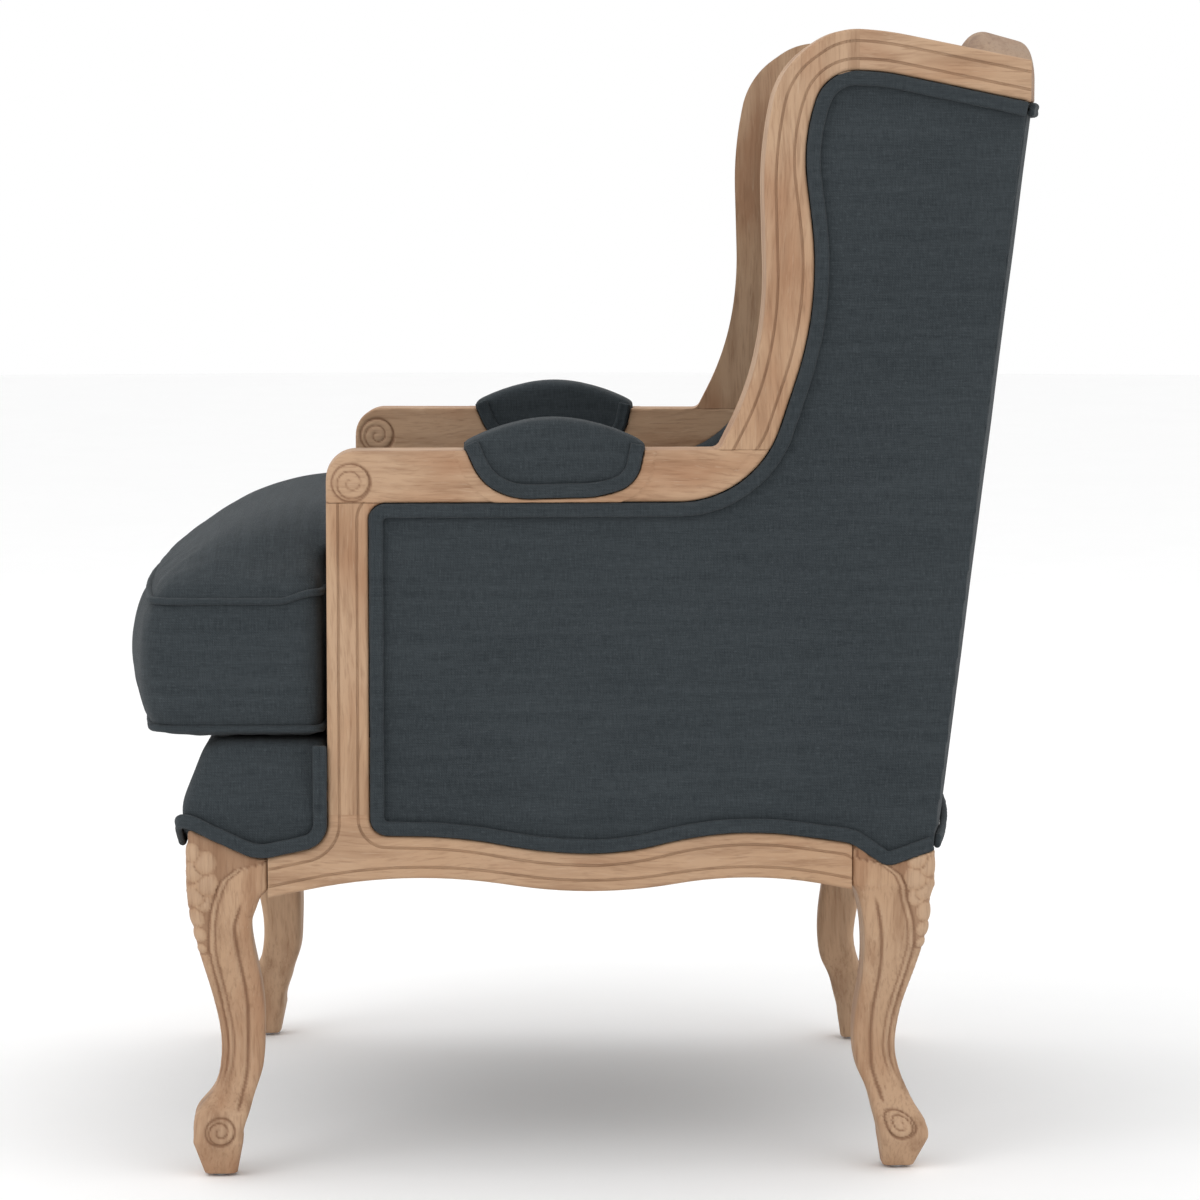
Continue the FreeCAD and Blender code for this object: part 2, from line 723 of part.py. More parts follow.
def back_leg():
    """Back leg: its top is rebated for the side and back fabric."""
    edge = [(BACK_LOW + 20, SHOW_BACK + 4, 0), (BACK_LOW, SHOW_BACK, 0),
            (BACK_LOW - 43, SHOW_BACK - 15, 16), (BACK_LOW - 75, SHOW_LINE - 10, 0)]
    above = edge + [(BACK_LOW - 75, FAR, 0), (BACK_LOW + 20, FAR, 0)]
    side_zone = side_plate("back leg side rebate", -10, 10 + size.rebate, rounded(above))
    back_zone = side_box("back leg back rebate", (-10, 100), (BACK_LOW - size.rebate, BACK_LOW + 30),
                         (SHOW_BACK, FAR))
    return leg("back_leg", BACK_LEG, BACK_LOW, -1.0, size.back_knee, (side_zone, back_zone))


def foot_glides(places):
    """Nailed steel glides under the four feet."""
    glides = []
    for depth, y in places:
        centre = on_side(depth, y)
        disc = Part.makeCylinder(size.glide_radius, size.glide_height, centre)
        pin = Part.makeCylinder(size.glide_pin_radius, size.glide_height + size.glide_pin_length,
                                centre)
        glide = disc.fuse(pin).removeSplitter()
        glides += [glide, glide.mirror(Vector(), Vector(1, 0, 0))]
    return keep("foot_glides", shaped("foot_glides", Part.makeCompound(glides)))


# cross rails

def cross_apron_line():
    """Lower edge of the front and back rails: two arches and a drop in the middle."""
    low = size.apron_low
    half = [(0, low, None), (70, low + 4, None), (150, low + 30, None), (250, low + 4, None),
            (FAR, low - 4, 0)]
    return [(-a, b, r) for a, b, r in reversed(half)] + half[1:]


def cross_rail(label, face_y, outward, bow, show_top):
    """A seat rail between the legs, and the Y of its inner face at an X."""
    knee = size.front_knee if outward < 0 else size.back_knee
    reach = side_x(knee, face_y)
    lead = 40 * bow / reach
    span = reach + 40

    def plan(near, far):
        """Plan of a layer, between two distances behind the face."""
        lines = []
        for shift, way in ((near, 1), (far, -1)):
            y = face_y - outward * shift
            lines += [(-way * span, y - outward * lead, 0), (0, y + outward * 2 * bow, None),
                      (way * span, y - outward * lead, 0)]
        return rounded([point for point in lines if bow or point[0]])

    def inner_at(x):
        rise = (2 * bow + lead) / 2 * (1 - (x / span) ** 2) - lead
        return face_y - outward * (size.side_thickness - rise)

    def layer(name, near, far, low, high):
        body = new_body(f"{label} {name}")
        add_pad(body, "XY_Plane", low, high - low, plan(near, far))
        return body

    apron = layer("apron", 0, size.apron_thickness, size.apron_low - 40, show_top)
    board = layer("board", size.rebate, size.side_thickness, RAIL_BOTTOM, RAIL_TOP)
    under = new_body(f"{label} underside")
    add_pad(under, "XZ_Plane", -FAR, 2 * FAR,
            rounded(cross_apron_line() + [(FAR, 0, 0), (-FAR, 0, 0)]))
    whole = fuse(f"{label} whole", cut(f"{label} shaped", apron, under), board)
    ends = side_box(f"{label} left end", (-200, knee), (-FAR, FAR), (0, FAR))
    return cut(label, whole, ends, mirror(f"{label} right end", ends)), inner_at


def crest_rail():
    """The crest: bowed in plan, humped in the middle, its top rounded."""
    reach = side_x(size.side_thickness, BACK_TOP)
    low = FABRIC_TOP
    steps = 6

    def section(x):
        share = x / reach
        back = size.overall_depth / 2 - size.crest_bow * share * share
        hump = size.crest_rise * (0.5 + 0.5 * math.cos(math.pi * min(abs(share) * 1.3, 1.0)))
        top = BACK_CORNER + hump
        front = back - size.crest_depth
        return rounded([(front, low, 2), (back, low, 2), (back, top - 11, 12),
                        (front, top + 5, size.crest_round)])

    body = new_body("crest form")
    stations = [reach * 1.06 * step / steps for step in range(-steps, steps + 1)]
    add_loft(body, "YZ_Plane", [(x, section(x)) for x in stations])
    ends = side_box("crest left end", (-200, size.side_thickness), (-FAR, FAR), (0, FAR))
    return cut("crest_rail", body, ends, mirror("crest right end", ends))


# hidden frame

def back_line(z):
    """Y of the back corner at a height."""
    return BACK_LOW + size.back_lean * (z - SHOW_LINE) / (FABRIC_TOP - SHOW_LINE)


def slanted(front_gap, back_gap, low, high):
    """A side view outline between two distances ahead of the leaning back line."""
    return [(back_line(low) - front_gap, low, 0), (back_line(low) - back_gap, low, 0),
            (back_line(high) - back_gap, high, 0), (back_line(high) - front_gap, high, 0)]


def back_stile(top_rail):
    back_gap = size.panel_thickness + 1
    outline = slanted(back_gap + size.stile_depth, back_gap, RAIL_TOP, size.wing_top)
    stile = side_plate("stile form", size.rebate, "Sizes.side_thickness - Sizes.rebate",
                       rounded(outline))
    region = side_plate("stile region", 0, "Sizes.side_thickness", rounded(panel_outline(0), 0.0))
    return common("back_stile", stile, region)


def arm_liner_rail():
    """Tacking rail between post and stile, under the inside arm pad."""
    top = DECK_TOP + size.cloth_gap
    stile_front = size.panel_thickness + 1 + size.stile_depth
    outline = [(POST_BACK, top - size.liner_height, 0),
               (back_line(top - size.liner_height) - stile_front, top - size.liner_height, 0),
               (back_line(top) - stile_front, top, 0), (POST_BACK, top, 0)]
    return side_plate("arm_liner_rail", size.rebate, "Sizes.liner_thickness", rounded(outline))


def back_liner_rail():
    """Tacking rail between the stiles, behind the foot of the inside back."""
    low = SEAM_LOW
    high = low + size.liner_height
    front = size.panel_thickness + 1 + size.stile_depth
    body = new_body("back liner form")
    reach = side_x(0, POST_FRONT)
    add_pad(body, "YZ_Plane", -reach, 2 * reach,
            rounded(slanted(front, front - size.liner_thickness, low, high)))
    ends = side_box("back liner left end", (-200, size.side_thickness), (-FAR, FAR), (0, FAR))
    return cut("back_liner_rail", body, ends, mirror("back liner right end", ends))


def corner_block(label, corner_y, direction, knee, inner_at):
    """A triangular block in a seat corner, notched round the leg."""
    thickness = size.side_thickness
    length = size.block_length
    leg_inner = corner_y + direction * knee
    on_rail = []
    for run in (length, 0):
        x = side_x(knee, leg_inner) - run
        y = inner_at(x) + direction * size.cloth_gap / 2
        place = side_placement().inverse().multVec(Vector(x, y, 0))
        on_rail.append((min(place.x, -knee), place.y, 0))
    outline = [
        (-thickness, leg_inner, 0),
        (-thickness, leg_inner + direction * length, 0),
        on_rail[0],
        on_rail[1],
        (-knee, leg_inner, 0),
    ]
    body = new_body(label, side_placement())
    low = RAIL_BOTTOM + size.block_margin
    add_pad(body, "XY_Plane", low, RAIL_TOP - size.block_margin - low, rounded(outline))
    return body


# upholstery

def outside_panel():
    return side_plate("outside_panel", size.panel_recess, "Sizes.panel_thickness",
                      rounded(panel_outline(0), size.cloth_gap))


def side_welt():
    """Double welt on the side fabric, from the back top corner round to the back bottom one."""
    whole = panel_outline(0)
    start = whole.index(next(p for p in whole if p[1] == SHOW_BACK))
    line = whole[start:] + whole[:start]
    path = rounded(line, -(size.welt_radius * 1.94 + size.cloth_gap), closed=False)
    wire = to_side_plane(path, size.panel_recess - size.welt_radius - 0.1)
    return shaped("side_welt", welt_along(wire, on_side(0, 0).sub(on_side(1, 0))))


def back_reach(y):
    """Half the width of the outside back, between the side panels, at a Y."""
    return side_x(size.panel_recess + size.panel_thickness + size.cloth_gap, y)


def outside_back_panel():
    bow = 2 * size.crest_bow
    levels = []
    for z in (SHOW_BACK + size.cloth_gap, FABRIC_TOP - size.cloth_gap):
        outer = back_line(z)
        inner = outer - size.panel_thickness
        reach = back_reach(outer)
        levels.append((z, rounded([
            (-reach, outer, 0), (0, outer + bow, None), (reach, outer, 0),
            (reach, inner, 0), (0, inner + bow, None), (-reach, inner, 0)])))
    body = new_body("outside_back_panel")
    add_loft(body, "XY_Plane", levels, ruled=True)
    return body


def back_welts():
    """Double welts across the top and the foot of the outside back."""
    above = size.welt_radius + 0.2
    lean = math.atan2(size.back_lean, FABRIC_TOP - SHOW_LINE)
    welts = []
    for z in (SHOW_BACK + 7, FABRIC_TOP - 7):
        y = back_line(z) + above / math.cos(lean)
        reach = back_reach(y)
        edges = rounded([(-reach, y, 0), (0, y + 2 * size.crest_bow, None), (reach, y, 0)],
                        closed=False)
        path = Part.Wire([edge.toShape() for edge in edges])
        path.translate(Vector(0, 0, z))
        start = path.OrderedEdges[0].tangentAt(path.OrderedEdges[0].FirstParameter)
        flat = Vector(0, 0, 1).cross(start)
        normal = flat * math.cos(lean) - Vector(0, 0, 1) * math.sin(lean)
        welts.append(welt_along(path, normal))
    return keep("back_welts", shaped("back_welts", Part.makeCompound(welts)))


def inside_arm_pad():
    """Inside of an arm and wing: fills the window of the wood and swells inwards."""
    top = fabric_top_line(0, 0)[1:-1]
    stile = size.panel_thickness + 1 + size.stile_depth + size.cloth_gap
    low = DECK_TOP + 2 * size.cloth_gap
    edge = (BACK_TOP + size.crest_behind - size.crest_depth) - size.cloth_gap
    under = FABRIC_TOP - size.cloth_gap
    corner_z = height_at(top[-1], (BACK_TOP + 20, FABRIC_TOP - 4), edge)
    outline = ([(POST_BACK, low, 14)] + top
               + [(edge, corner_z, 0), (edge, under, 0), (back_line(under) - stile, under, 0),
                  (back_line(low) - stile, low, 14)])
    body = new_body("inside_arm_pad", side_placement())
    start = size.inside_pad_start
    end = size.inside_pad_end
    round_start = end - size.pad_round
    add_pad(body, "YZ_Plane", -start, round_start - start, rounded(outline, size.cloth_gap),
            backwards=True)
    add_loft(body, "YZ_Plane", [
        (-round_start, rounded(outline, size.cloth_gap)),
        (-round_start - size.pad_round * 0.6, rounded(outline, size.pad_round * 0.25)),
        (-end, rounded(outline, size.pad_round)),
    ])
    return body


def inside_back_pad():
    """Inside back: leans with the back, swells in the middle and rolls over at the top."""
    low = DECK_TOP + 2 * size.cloth_gap
    high = FABRIC_TOP - 2
    stile = size.panel_thickness + 1 + size.stile_depth + size.webbing_thickness + size.cloth_gap
    half = side_x(size.inside_pad_end + size.cloth_gap, BACK_TOP - size.stile_depth)
    body = new_body("inside_back_pad")
    levels = []
    for share, thick in ((0, 0.80), (0.08, 0.94), (0.2, 1.0), (0.4, 1.03), (0.6, 1.0),
                         (0.8, 0.9), (0.9, 0.78), (0.96, 0.6), (1.0, 0.36)):
        z = low + (high - low) * share
        back = back_line(z) - stile
        front = back - size.back_pad_thickness * thick
        levels.append((z, rounded([(half, front, 12), (half, back, 4), (-half, back, 4),
                                   (-half, front, 12), (0, front - 12, None)])))
    add_loft(body, "XY_Plane", levels)
    return body


def nose_plan(inset):
    """Plan of the front pad: its front and side edges move in, its back edge stays."""
    front = LEG_FRONT - size.nose_proud + inset
    corner = on_side(1 + inset, front)
    rear = on_side(1 + inset, POST_FRONT)
    bend = size.nose_corner
    return rounded([(-rear.x, POST_FRONT, 0), (-corner.x, front, bend), (corner.x, front, bend),
                    (rear.x, POST_FRONT, 0)])


NOSE = [
    # share of the way from the front pad's shoulder to its top, distance that the plan is drawn in
    (0.0, 0), (0.27, 5), (0.45, 9.5), (0.65, 14), (0.88, 20), (1.0, 27),
]


def front_edge_pad(neighbours):
    """The upholstered platform in front of the posts, with its shaped lower edge."""
    body = new_body("front pad form")
    low = SHOW_LINE - 25
    shoulder = RAIL_TOP - 15
    add_pad(body, "XY_Plane", low, shoulder - low, nose_plan(0))
    add_loft(body, "XY_Plane", [(shoulder + (DECK_TOP - shoulder) * share, nose_plan(inset))
                                for share, inset in NOSE])
    reach = 40
    gap = size.cloth_gap
    edge = nose_line()
    above = [(y, z + gap, r) for y, z, r in edge[:3]]
    above += [(POST_FRONT - gap, edge[3][1] + gap, edge[3][2]), (POST_FRONT - gap, FAR, 0),
              (LEG_FRONT - reach, FAR, 0)]
    side_skirt = side_plate("side skirt", -10, 10 + size.rebate, rounded(above))
    corner_x = side_x(0, LEG_FRONT)
    half = [(corner_x - (y - LEG_FRONT), z, r) for y, z, r in above[:3]]
    drop = SHOW_LINE - 12 + gap
    half += [(corner_x - size.front_knee - 40, drop + 6, None), (150, drop + 13, None),
             (70, drop - 2, None), (0, drop - 8, None)]
    line = half + [(-a, b, r) for a, b, r in reversed(half[:-1])]
    front = line + [(line[-1][0], FAR, 0), (line[0][0], FAR, 0)]
    front_skirt = new_body("front skirt")
    add_pad(front_skirt, "XZ_Plane", -(LEG_FRONT + size.rebate), 30 + size.rebate, rounded(front))
    platform = box("front platform", (-FAR, -FAR, RAIL_TOP), (FAR, FAR, FAR))
    zone = fuse("front pad zone", side_skirt, mirror("right side skirt", side_skirt), front_skirt,
                platform)
    return cut("front_edge_pad", common("front pad whole", body, zone), *neighbours), line


def front_pad_welt(front_line):
    """Double welt along the front pad's lower edge: down a post, round the corners, up the other."""
    inset = size.welt_radius * 1.94 + size.cloth_gap
    above = size.welt_radius + 1.5 * size.cloth_gap
    front = LEG_FRONT - size.nose_proud - above
    lift = 2.0  # the bend at a corner dips, so it starts this much higher and turns tighter
    side = shifted(nose_line() + [(POST_FRONT, DECK_TOP - 2, 0)], inset)
    corner_z = height_at(side[0], side[1], front)
    left = [(on_side(1 - above, y, z), radius) for y, z, radius in reversed(side[1:])]
    left.append((on_side(1 - above, front, corner_z + lift), size.nose_corner - lift))
    corner_x = left[-1][0].x
    for x, z, radius in shifted(front_line, -inset):
        if 0 < x < corner_x - size.nose_corner * 0.7:
            left.append((Vector(x, front, z), radius))
    middle = shifted(front_line, -inset)[len(front_line) // 2]
    right = [(Vector(-place.x, place.y, place.z), radius) for place, radius in reversed(left)]
    path = bent_path(left + [(Vector(0, front, middle[1]), None)] + right)
    return keep("front_pad_welt",
                shaped("front_pad_welt", welt_along(path, on_side(0, 0).sub(on_side(1, 0)))))


def deck_plan(depth, front, back):
    first = on_side(depth, front)
    last = on_side(depth, back)
    return [(first.x, front, 0), (last.x, back, 0), (-last.x, back, 0), (-first.x, front, 0)]


# springing

def seat_springs(front_at, back_at):
    """Sinuous springs, front to back, in clips on the seat rails."""
    radius = size.spring_wire_radius
    count = int(size.spring_count)
    gap = 2 * side_x(size.side_thickness, BACK_JOINT) / count
    places = [gap * (i - (count - 1) / 2) for i in range(count)]
    front = max(front_at(x) for x in places)
    back = min(back_at(x) for x in places)
    z = RAIL_TOP - size.cloth_gap - radius
    bars = int((back - front - 2 * size.clip_wall) // size.spring_pitch)
    if bars % 2 == 0:
        bars -= 1
    bend = size.spring_pitch / 2
    half = size.spring_width / 2 - bend
    start = (front + back) / 2 - size.spring_pitch * (bars - 1) / 2
    quarter = bend * math.sqrt(0.5)
    edges = []
    for bar in range(bars):
        y = start + bar * size.spring_pitch
        way = 1.0 if bar % 2 == 0 else -1.0
        edges.append(Part.LineSegment(Vector(-half * way, y, z), Vector(half * way, y, z)))
        if bar < bars - 1:
            middle = Vector((half + bend) * way, y + bend, z)
            low = Vector((half + quarter) * way, y + bend - quarter, z)
            high = Vector((half + quarter) * way, y + bend + quarter, z)
            edges.append(Part.Arc(Vector(half * way, y, z), low, middle))
            edges.append(Part.Arc(middle, high, Vector(half * way, y + 2 * bend, z)))
    wire = Part.Wire([edge.toShape() for edge in edges])
    spring = tube_along(wire, radius)
    springs = []
    clips = []
    wall = size.clip_wall
    for x in places:
        springs.append(spring.translated(Vector(x, 0, 0)))
        last = start + size.spring_pitch * (bars - 1)
        edges = (x - size.clip_width / 2, x + size.clip_width / 2)
        front_face = max(front_at(edge) for edge in edges) + size.cloth_gap / 3
        back_face = min(back_at(edge) for edge in edges) - size.cloth_gap / 3
        for end, face, way in ((start, front_face, 1.0), (last, back_face, -1.0)):
            reach_y = abs(end - face) + radius + wall
            low = Vector(x - size.clip_width / 2, min(face, face + way * reach_y), z - radius - wall)
            block = Part.makeBox(size.clip_width, reach_y, 2 * radius + wall, low)
            slot_low = Vector(x - size.clip_width / 2,
                              min(face + way * wall, face + way * (reach_y - wall)), z - radius)
            slot = Part.makeBox(size.clip_width, reach_y - 2 * wall, 2 * radius + wall, slot_low)
            clips.append(block.cut(slot))
    keep("seat_springs", shaped("seat_springs", Part.makeCompound(springs)))
    keep("spring_clips", shaped("spring_clips", Part.makeCompound(clips)))


def back_webbing():
    """Straps up the back, from the liner rail to the crest, behind the inside back."""
    front = size.panel_thickness + 1 + size.stile_depth
    count = 4
    reach = side_x(size.inside_pad_end, BACK_LOW)
    straps = []
    low = SEAM_LOW
    high = FABRIC_TOP
    for i in range(count):
        x = 2 * reach * (i + 0.5) / count - reach
        outline = slanted(front + size.webbing_thickness, front, low, high)
        wire = Part.Wire([edge.toShape() for edge in rounded(outline)])
        turn = Rotation(Vector(0, 1, 0), Vector(0, 0, 1), Vector(1, 0, 0), "XYZ")
        wire.Placement = Placement(Vector(x - size.webbing_width / 2, 0, 0), turn)
        straps.append(Part.Face(wire).extrude(Vector(size.webbing_width, 0, 0)))
    return shaped("back webbing", Part.makeCompound(straps))


# the loose cushion

def cushion_plan(inward=0.0, front_out=0.0, side_out=0.0, fade=0.9):
    """T-shaped plan of the cushion, drawn in all round, or bulged at the front and sides.

    High up, the ears run together with the body: fade is how fast their backs move back.
    """
    seam_front = CUSHION_FRONT + size.cushion_bulge + size.cushion_bow
    depth = size.inside_pad_end + size.cushion_side_gap
    back = seam_front + size.cushion_length
    front = seam_front - front_out * 0.3 + inward
    middle = seam_front + inward - size.cushion_bow * (2 - inward / 200) - front_out * 1.7
    ear = size.side_half_width - size.ear_setback + front_out * 0.2 - inward
    ear_back = POST_FRONT - size.ear_gap - 0.15 * min(inward, 30) + fade * max(inward - 30, 0)
    ear_depth = ear_back - front
    body_front = side_x(depth, POST_FRONT) + side_out - inward
    body_back = side_x(depth, back) + side_out - inward
    half = [
        (0, middle, None), (ear, front, min(26 + inward * 0.25, 0.6 * ear_depth)),
        (ear, ear_back, min(12, 0.3 * ear_depth)), (body_front, ear_back, 10),
        (body_back, back + side_out - inward, 32),
    ]
    return half + [(-a, b, r) for a, b, r in reversed(half) if a > 0]


CROWN = [
    # share of the crown's height, distance that the plan is drawn in
    (0.0, 3), (0.17, 14), (0.41, 37), (0.64, 60), (0.81, 88), (0.92, 116), (0.975, 142), (1.0, 165),
]
BOXING = [
    # share of the boxing's height, share of the front bulge, side bulge
    (0.0, 0.0, 0.0), (0.2, 0.6, 1.0), (0.48, 1.0, 2.0), (0.76, 0.66, 1.3), (1.0, 0.05, 0.0),
]


def cushion():
    """Cover with its boxing, crown, seam necks and cavity, the filling, and the two pipings."""
    bottom = DECK_TOP + size.cloth_gap
    neck = size.piping_radius + size.cloth_gap
    seams = (SEAM_LOW, SEAM_TOP)
    drop = SEAM_LOW - neck - bottom
    base = [(bottom, 40), (bottom + drop * 0.5, 14), (bottom + drop, 3)]
    start = SEAM_TOP + neck
    crown = [(start + (size.cushion_crown - neck) * share, inward) for share, inward in CROWN]
    cover = new_body("seat_cushion_cover")
    add_loft(cover, "XY_Plane", [(z, rounded(cushion_plan(inward))) for z, inward in base])
    inset = size.piping_radius * 1.35
    for z in seams:
        add_pad(cover, "XY_Plane", z - neck, 2 * neck, rounded(cushion_plan(), inset))
    low = seams[0] + neck
    high = seams[1] - neck
    add_loft(cover, "XY_Plane", [
        (low + (high - low) * share, rounded(cushion_plan(0, size.cushion_bulge * out, side)))
        for share, out, side in BOXING])
    add_loft(cover, "XY_Plane", [(z, rounded(cushion_plan(inward))) for z, inward in crown])

    def filling(beside, under):
        """Levels of the filling: the cover's own but for the top two, moved in by wall and gaps."""
        inset = size.cushion_wall + beside
        levels = [(z + size.cushion_wall + under, inward) for z, inward in base[:2]]
        levels += [(low + under, 3), ((low + high) / 2, 0), (high - beside, 3)]
        levels += [(z - inset, inward) for z, inward in crown[1:-2]]
        return [(z, rounded(cushion_plan(inward, fade=0.0), inset)) for z, inward in levels]

    add_loft(cover, "XY_Plane", filling(0.0, 0.0), "SubtractiveLoft")
    keep("seat_cushion_cover", cover)
    core = new_body("seat_cushion_core")
    add_loft(core, "XY_Plane", filling(size.filling_gap, size.cloth_gap))
    keep("seat_cushion_core", core)
    for name, z in (("cushion_piping_bottom", seams[0]), ("cushion_piping_top", seams[1])):
        edges = rounded(cushion_plan(), size.piping_radius * 0.25)
        path = Part.Wire([edge.toShape() for edge in edges])
        path.translate(Vector(0, 0, z))
        keep(name, shaped(name, tube_along(path, size.piping_radius)))


def zip_fastener():
    """Zip across the back boxing, and its slider at one end."""
    back = CUSHION_FRONT + size.cushion_bulge + size.cushion_bow + size.cushion_length
    face = back + 2.0 + size.cloth_gap
    middle = SEAM_LOW + size.boxing_height * 0.48
    half = size.zip_length / 2
    tape = box("zip tape", (-half, face, middle - size.zip_width / 2),
               (half, face + size.zip_thickness, middle + size.zip_width / 2))
    teeth = box("zip teeth", (-half, face + size.zip_thickness, middle - 2),
                (half, face + size.zip_thickness + 1.2, middle + 2))
    keep("cushion_zip", fuse("cushion_zip", tape, teeth))
    start = -half + 4
    gap = size.cloth_gap
    outer = face + size.zip_thickness + gap
    body = new_body("zip_slider")
    tooth = 2 + gap
    section = [
        (outer, middle - size.slider_height / 2, 0),
        (outer + size.slider_thickness, middle - size.slider_height / 2, 1),
        (outer + size.slider_thickness, middle + size.slider_height / 2, 1),
        (outer, middle + size.slider_height / 2, 0),
        (outer, middle + tooth, 0),
        (outer + 1.2, middle + tooth, 0),
        (outer + 1.2, middle - tooth, 0),
        (outer, middle - tooth, 0),
    ]
    add_pad(body, "YZ_Plane", start, "Sizes.slider_length", rounded(section))
    keep("zip_slider", body)


# joinery

def dowel(centre, axis):
    """A dowel whose middle is on a joint."""
    way = Vector(axis).normalize()
    length = size.dowel_length
    return Part.makeCylinder(size.dowel_radius, length, centre - way * (length / 2), way)


def frame_dowels():
    """Two dowels in every joint of the frame."""
    half = size.side_thickness / 2
    along = on_side(0, 1).sub(on_side(0, 0))
    across = on_side(0, 0).sub(on_side(1, 0))
    board = (RAIL_BOTTOM + RAIL_TOP) / 2
    dowels = []
    for z in (board - 14, board + 12):
        for y in (FRONT_JOINT, BACK_JOINT):
            dowels.append(dowel(on_side(half + 4, y, z), along))
        dowels.append(dowel(on_side(size.front_knee, LEG_FRONT + 30, z), across))
        dowels.append(dowel(on_side(size.back_knee, BACK_LOW - 26, z), across))
    for shift in (-8, 8):
        post = POST_FRONT + size.post_width / 2
        dowels.append(dowel(on_side(half, post + shift, POST_FOOT), Vector(0, 0, 1)))
        dowels.append(dowel(on_side(half, post + shift, ARM_LOW), Vector(0, 0, 1)))
        wing = (BACK_LOW - 192 + BACK_LOW - 138) / 2
        dowels.append(dowel(on_side(half, wing + shift, size.arm_top), Vector(0, 0, 1)))
        top = size.wing_top - size.top_rail_height / 2
        dowels.append(dowel(on_side(half, BACK_LOW - 71, top + shift), along))
        crest = FABRIC_TOP + size.top_rail_height / 2 + shift
        dowels.append(dowel(on_side(size.side_thickness, BACK_TOP - 22, crest), across))
        stile = back_line(RAIL_TOP) - size.panel_thickness - 1 - size.stile_depth / 2
        dowels.append(dowel(on_side(half + 4, stile + shift, RAIL_TOP), Vector(0, 0, 1)))
    dowels += [d.mirror(Vector(), Vector(1, 0, 0)) for d in dowels]
    return keep("frame_dowels", shaped("frame_dowels", Part.makeCompound(dowels)))


def block_screws(front_at, back_at):
    """Two screws through every corner block, one into each rail."""
    board = (RAIL_BOTTOM + RAIL_TOP) / 2
    length = size.block_length
    screws = []

    def screw(head, way):
        shank = Part.makeCylinder(size.screw_radius, size.screw_length, head, way)
        cap = Part.makeCylinder(size.screw_head_radius, 3, head - way * 3, way)
        screws.append(shank.fuse(cap).removeSplitter())

    into_side = on_side(0, 0).sub(on_side(1, 0))
    for corner, direction, knee, inner_at in ((LEG_FRONT, 1.0, size.front_knee, front_at),
                                              (BACK_LOW, -1.0, size.back_knee, back_at)):
        leg_inner = corner + direction * knee
        side_end = on_side(size.side_thickness, leg_inner + direction * length)
        x = side_x(knee, leg_inner) - length
        rail_end = Vector(x, inner_at(x), 0)
        for share, way, z in ((0.3, into_side, board - 8),
                              (0.7, Vector(0, -direction, 0), board + 10)):
            head = side_end * (1 - share) + rail_end * share
            screw(Vector(head.x, head.y, z) + way * 6, way)
    screws += [s.mirror(Vector(), Vector(1, 0, 0)) for s in screws]
    return keep("corner_block_screws", shaped("corner_block_screws", Part.makeCompound(screws)))


def dust_cover(rims):
    """Cloth under the seat, and the tacks along its edges."""
    top = RAIL_BOTTOM
    depth = size.apron_thickness + size.cloth_gap
    front = LEG_FRONT - 3 + depth
    back = BACK_LOW - 3 - depth
    body = new_body("dust cover sheet")
    add_pad(body, "XY_Plane", top - size.dust_cover, "Sizes.dust_cover",
            rounded(deck_plan(depth, front, back)))
    keep("dust_cover", cut("dust_cover", body, *rims))
    tacks = []
    places = []
    steps = 5
    for i in range(steps):
        y = FRONT_JOINT + 20 + (BACK_JOINT - FRONT_JOINT - 40) * i / (steps - 1)
        spot = on_side(depth + 9, y)
        places += [(spot.x, spot.y), (-spot.x, spot.y)]
        x = (i - (steps - 1) / 2) * 100
        places += [(x, front + 10), (x, back - 10)]
    for x, y in places:
        tacks.append(Part.makeCylinder(size.tack_radius, size.tack_height,
                                       Vector(x, y, top - size.dust_cover - size.tack_height)))
    keep("dust_cover_tacks", shaped("dust_cover_tacks", Part.makeCompound(tacks)))


# the whole chair

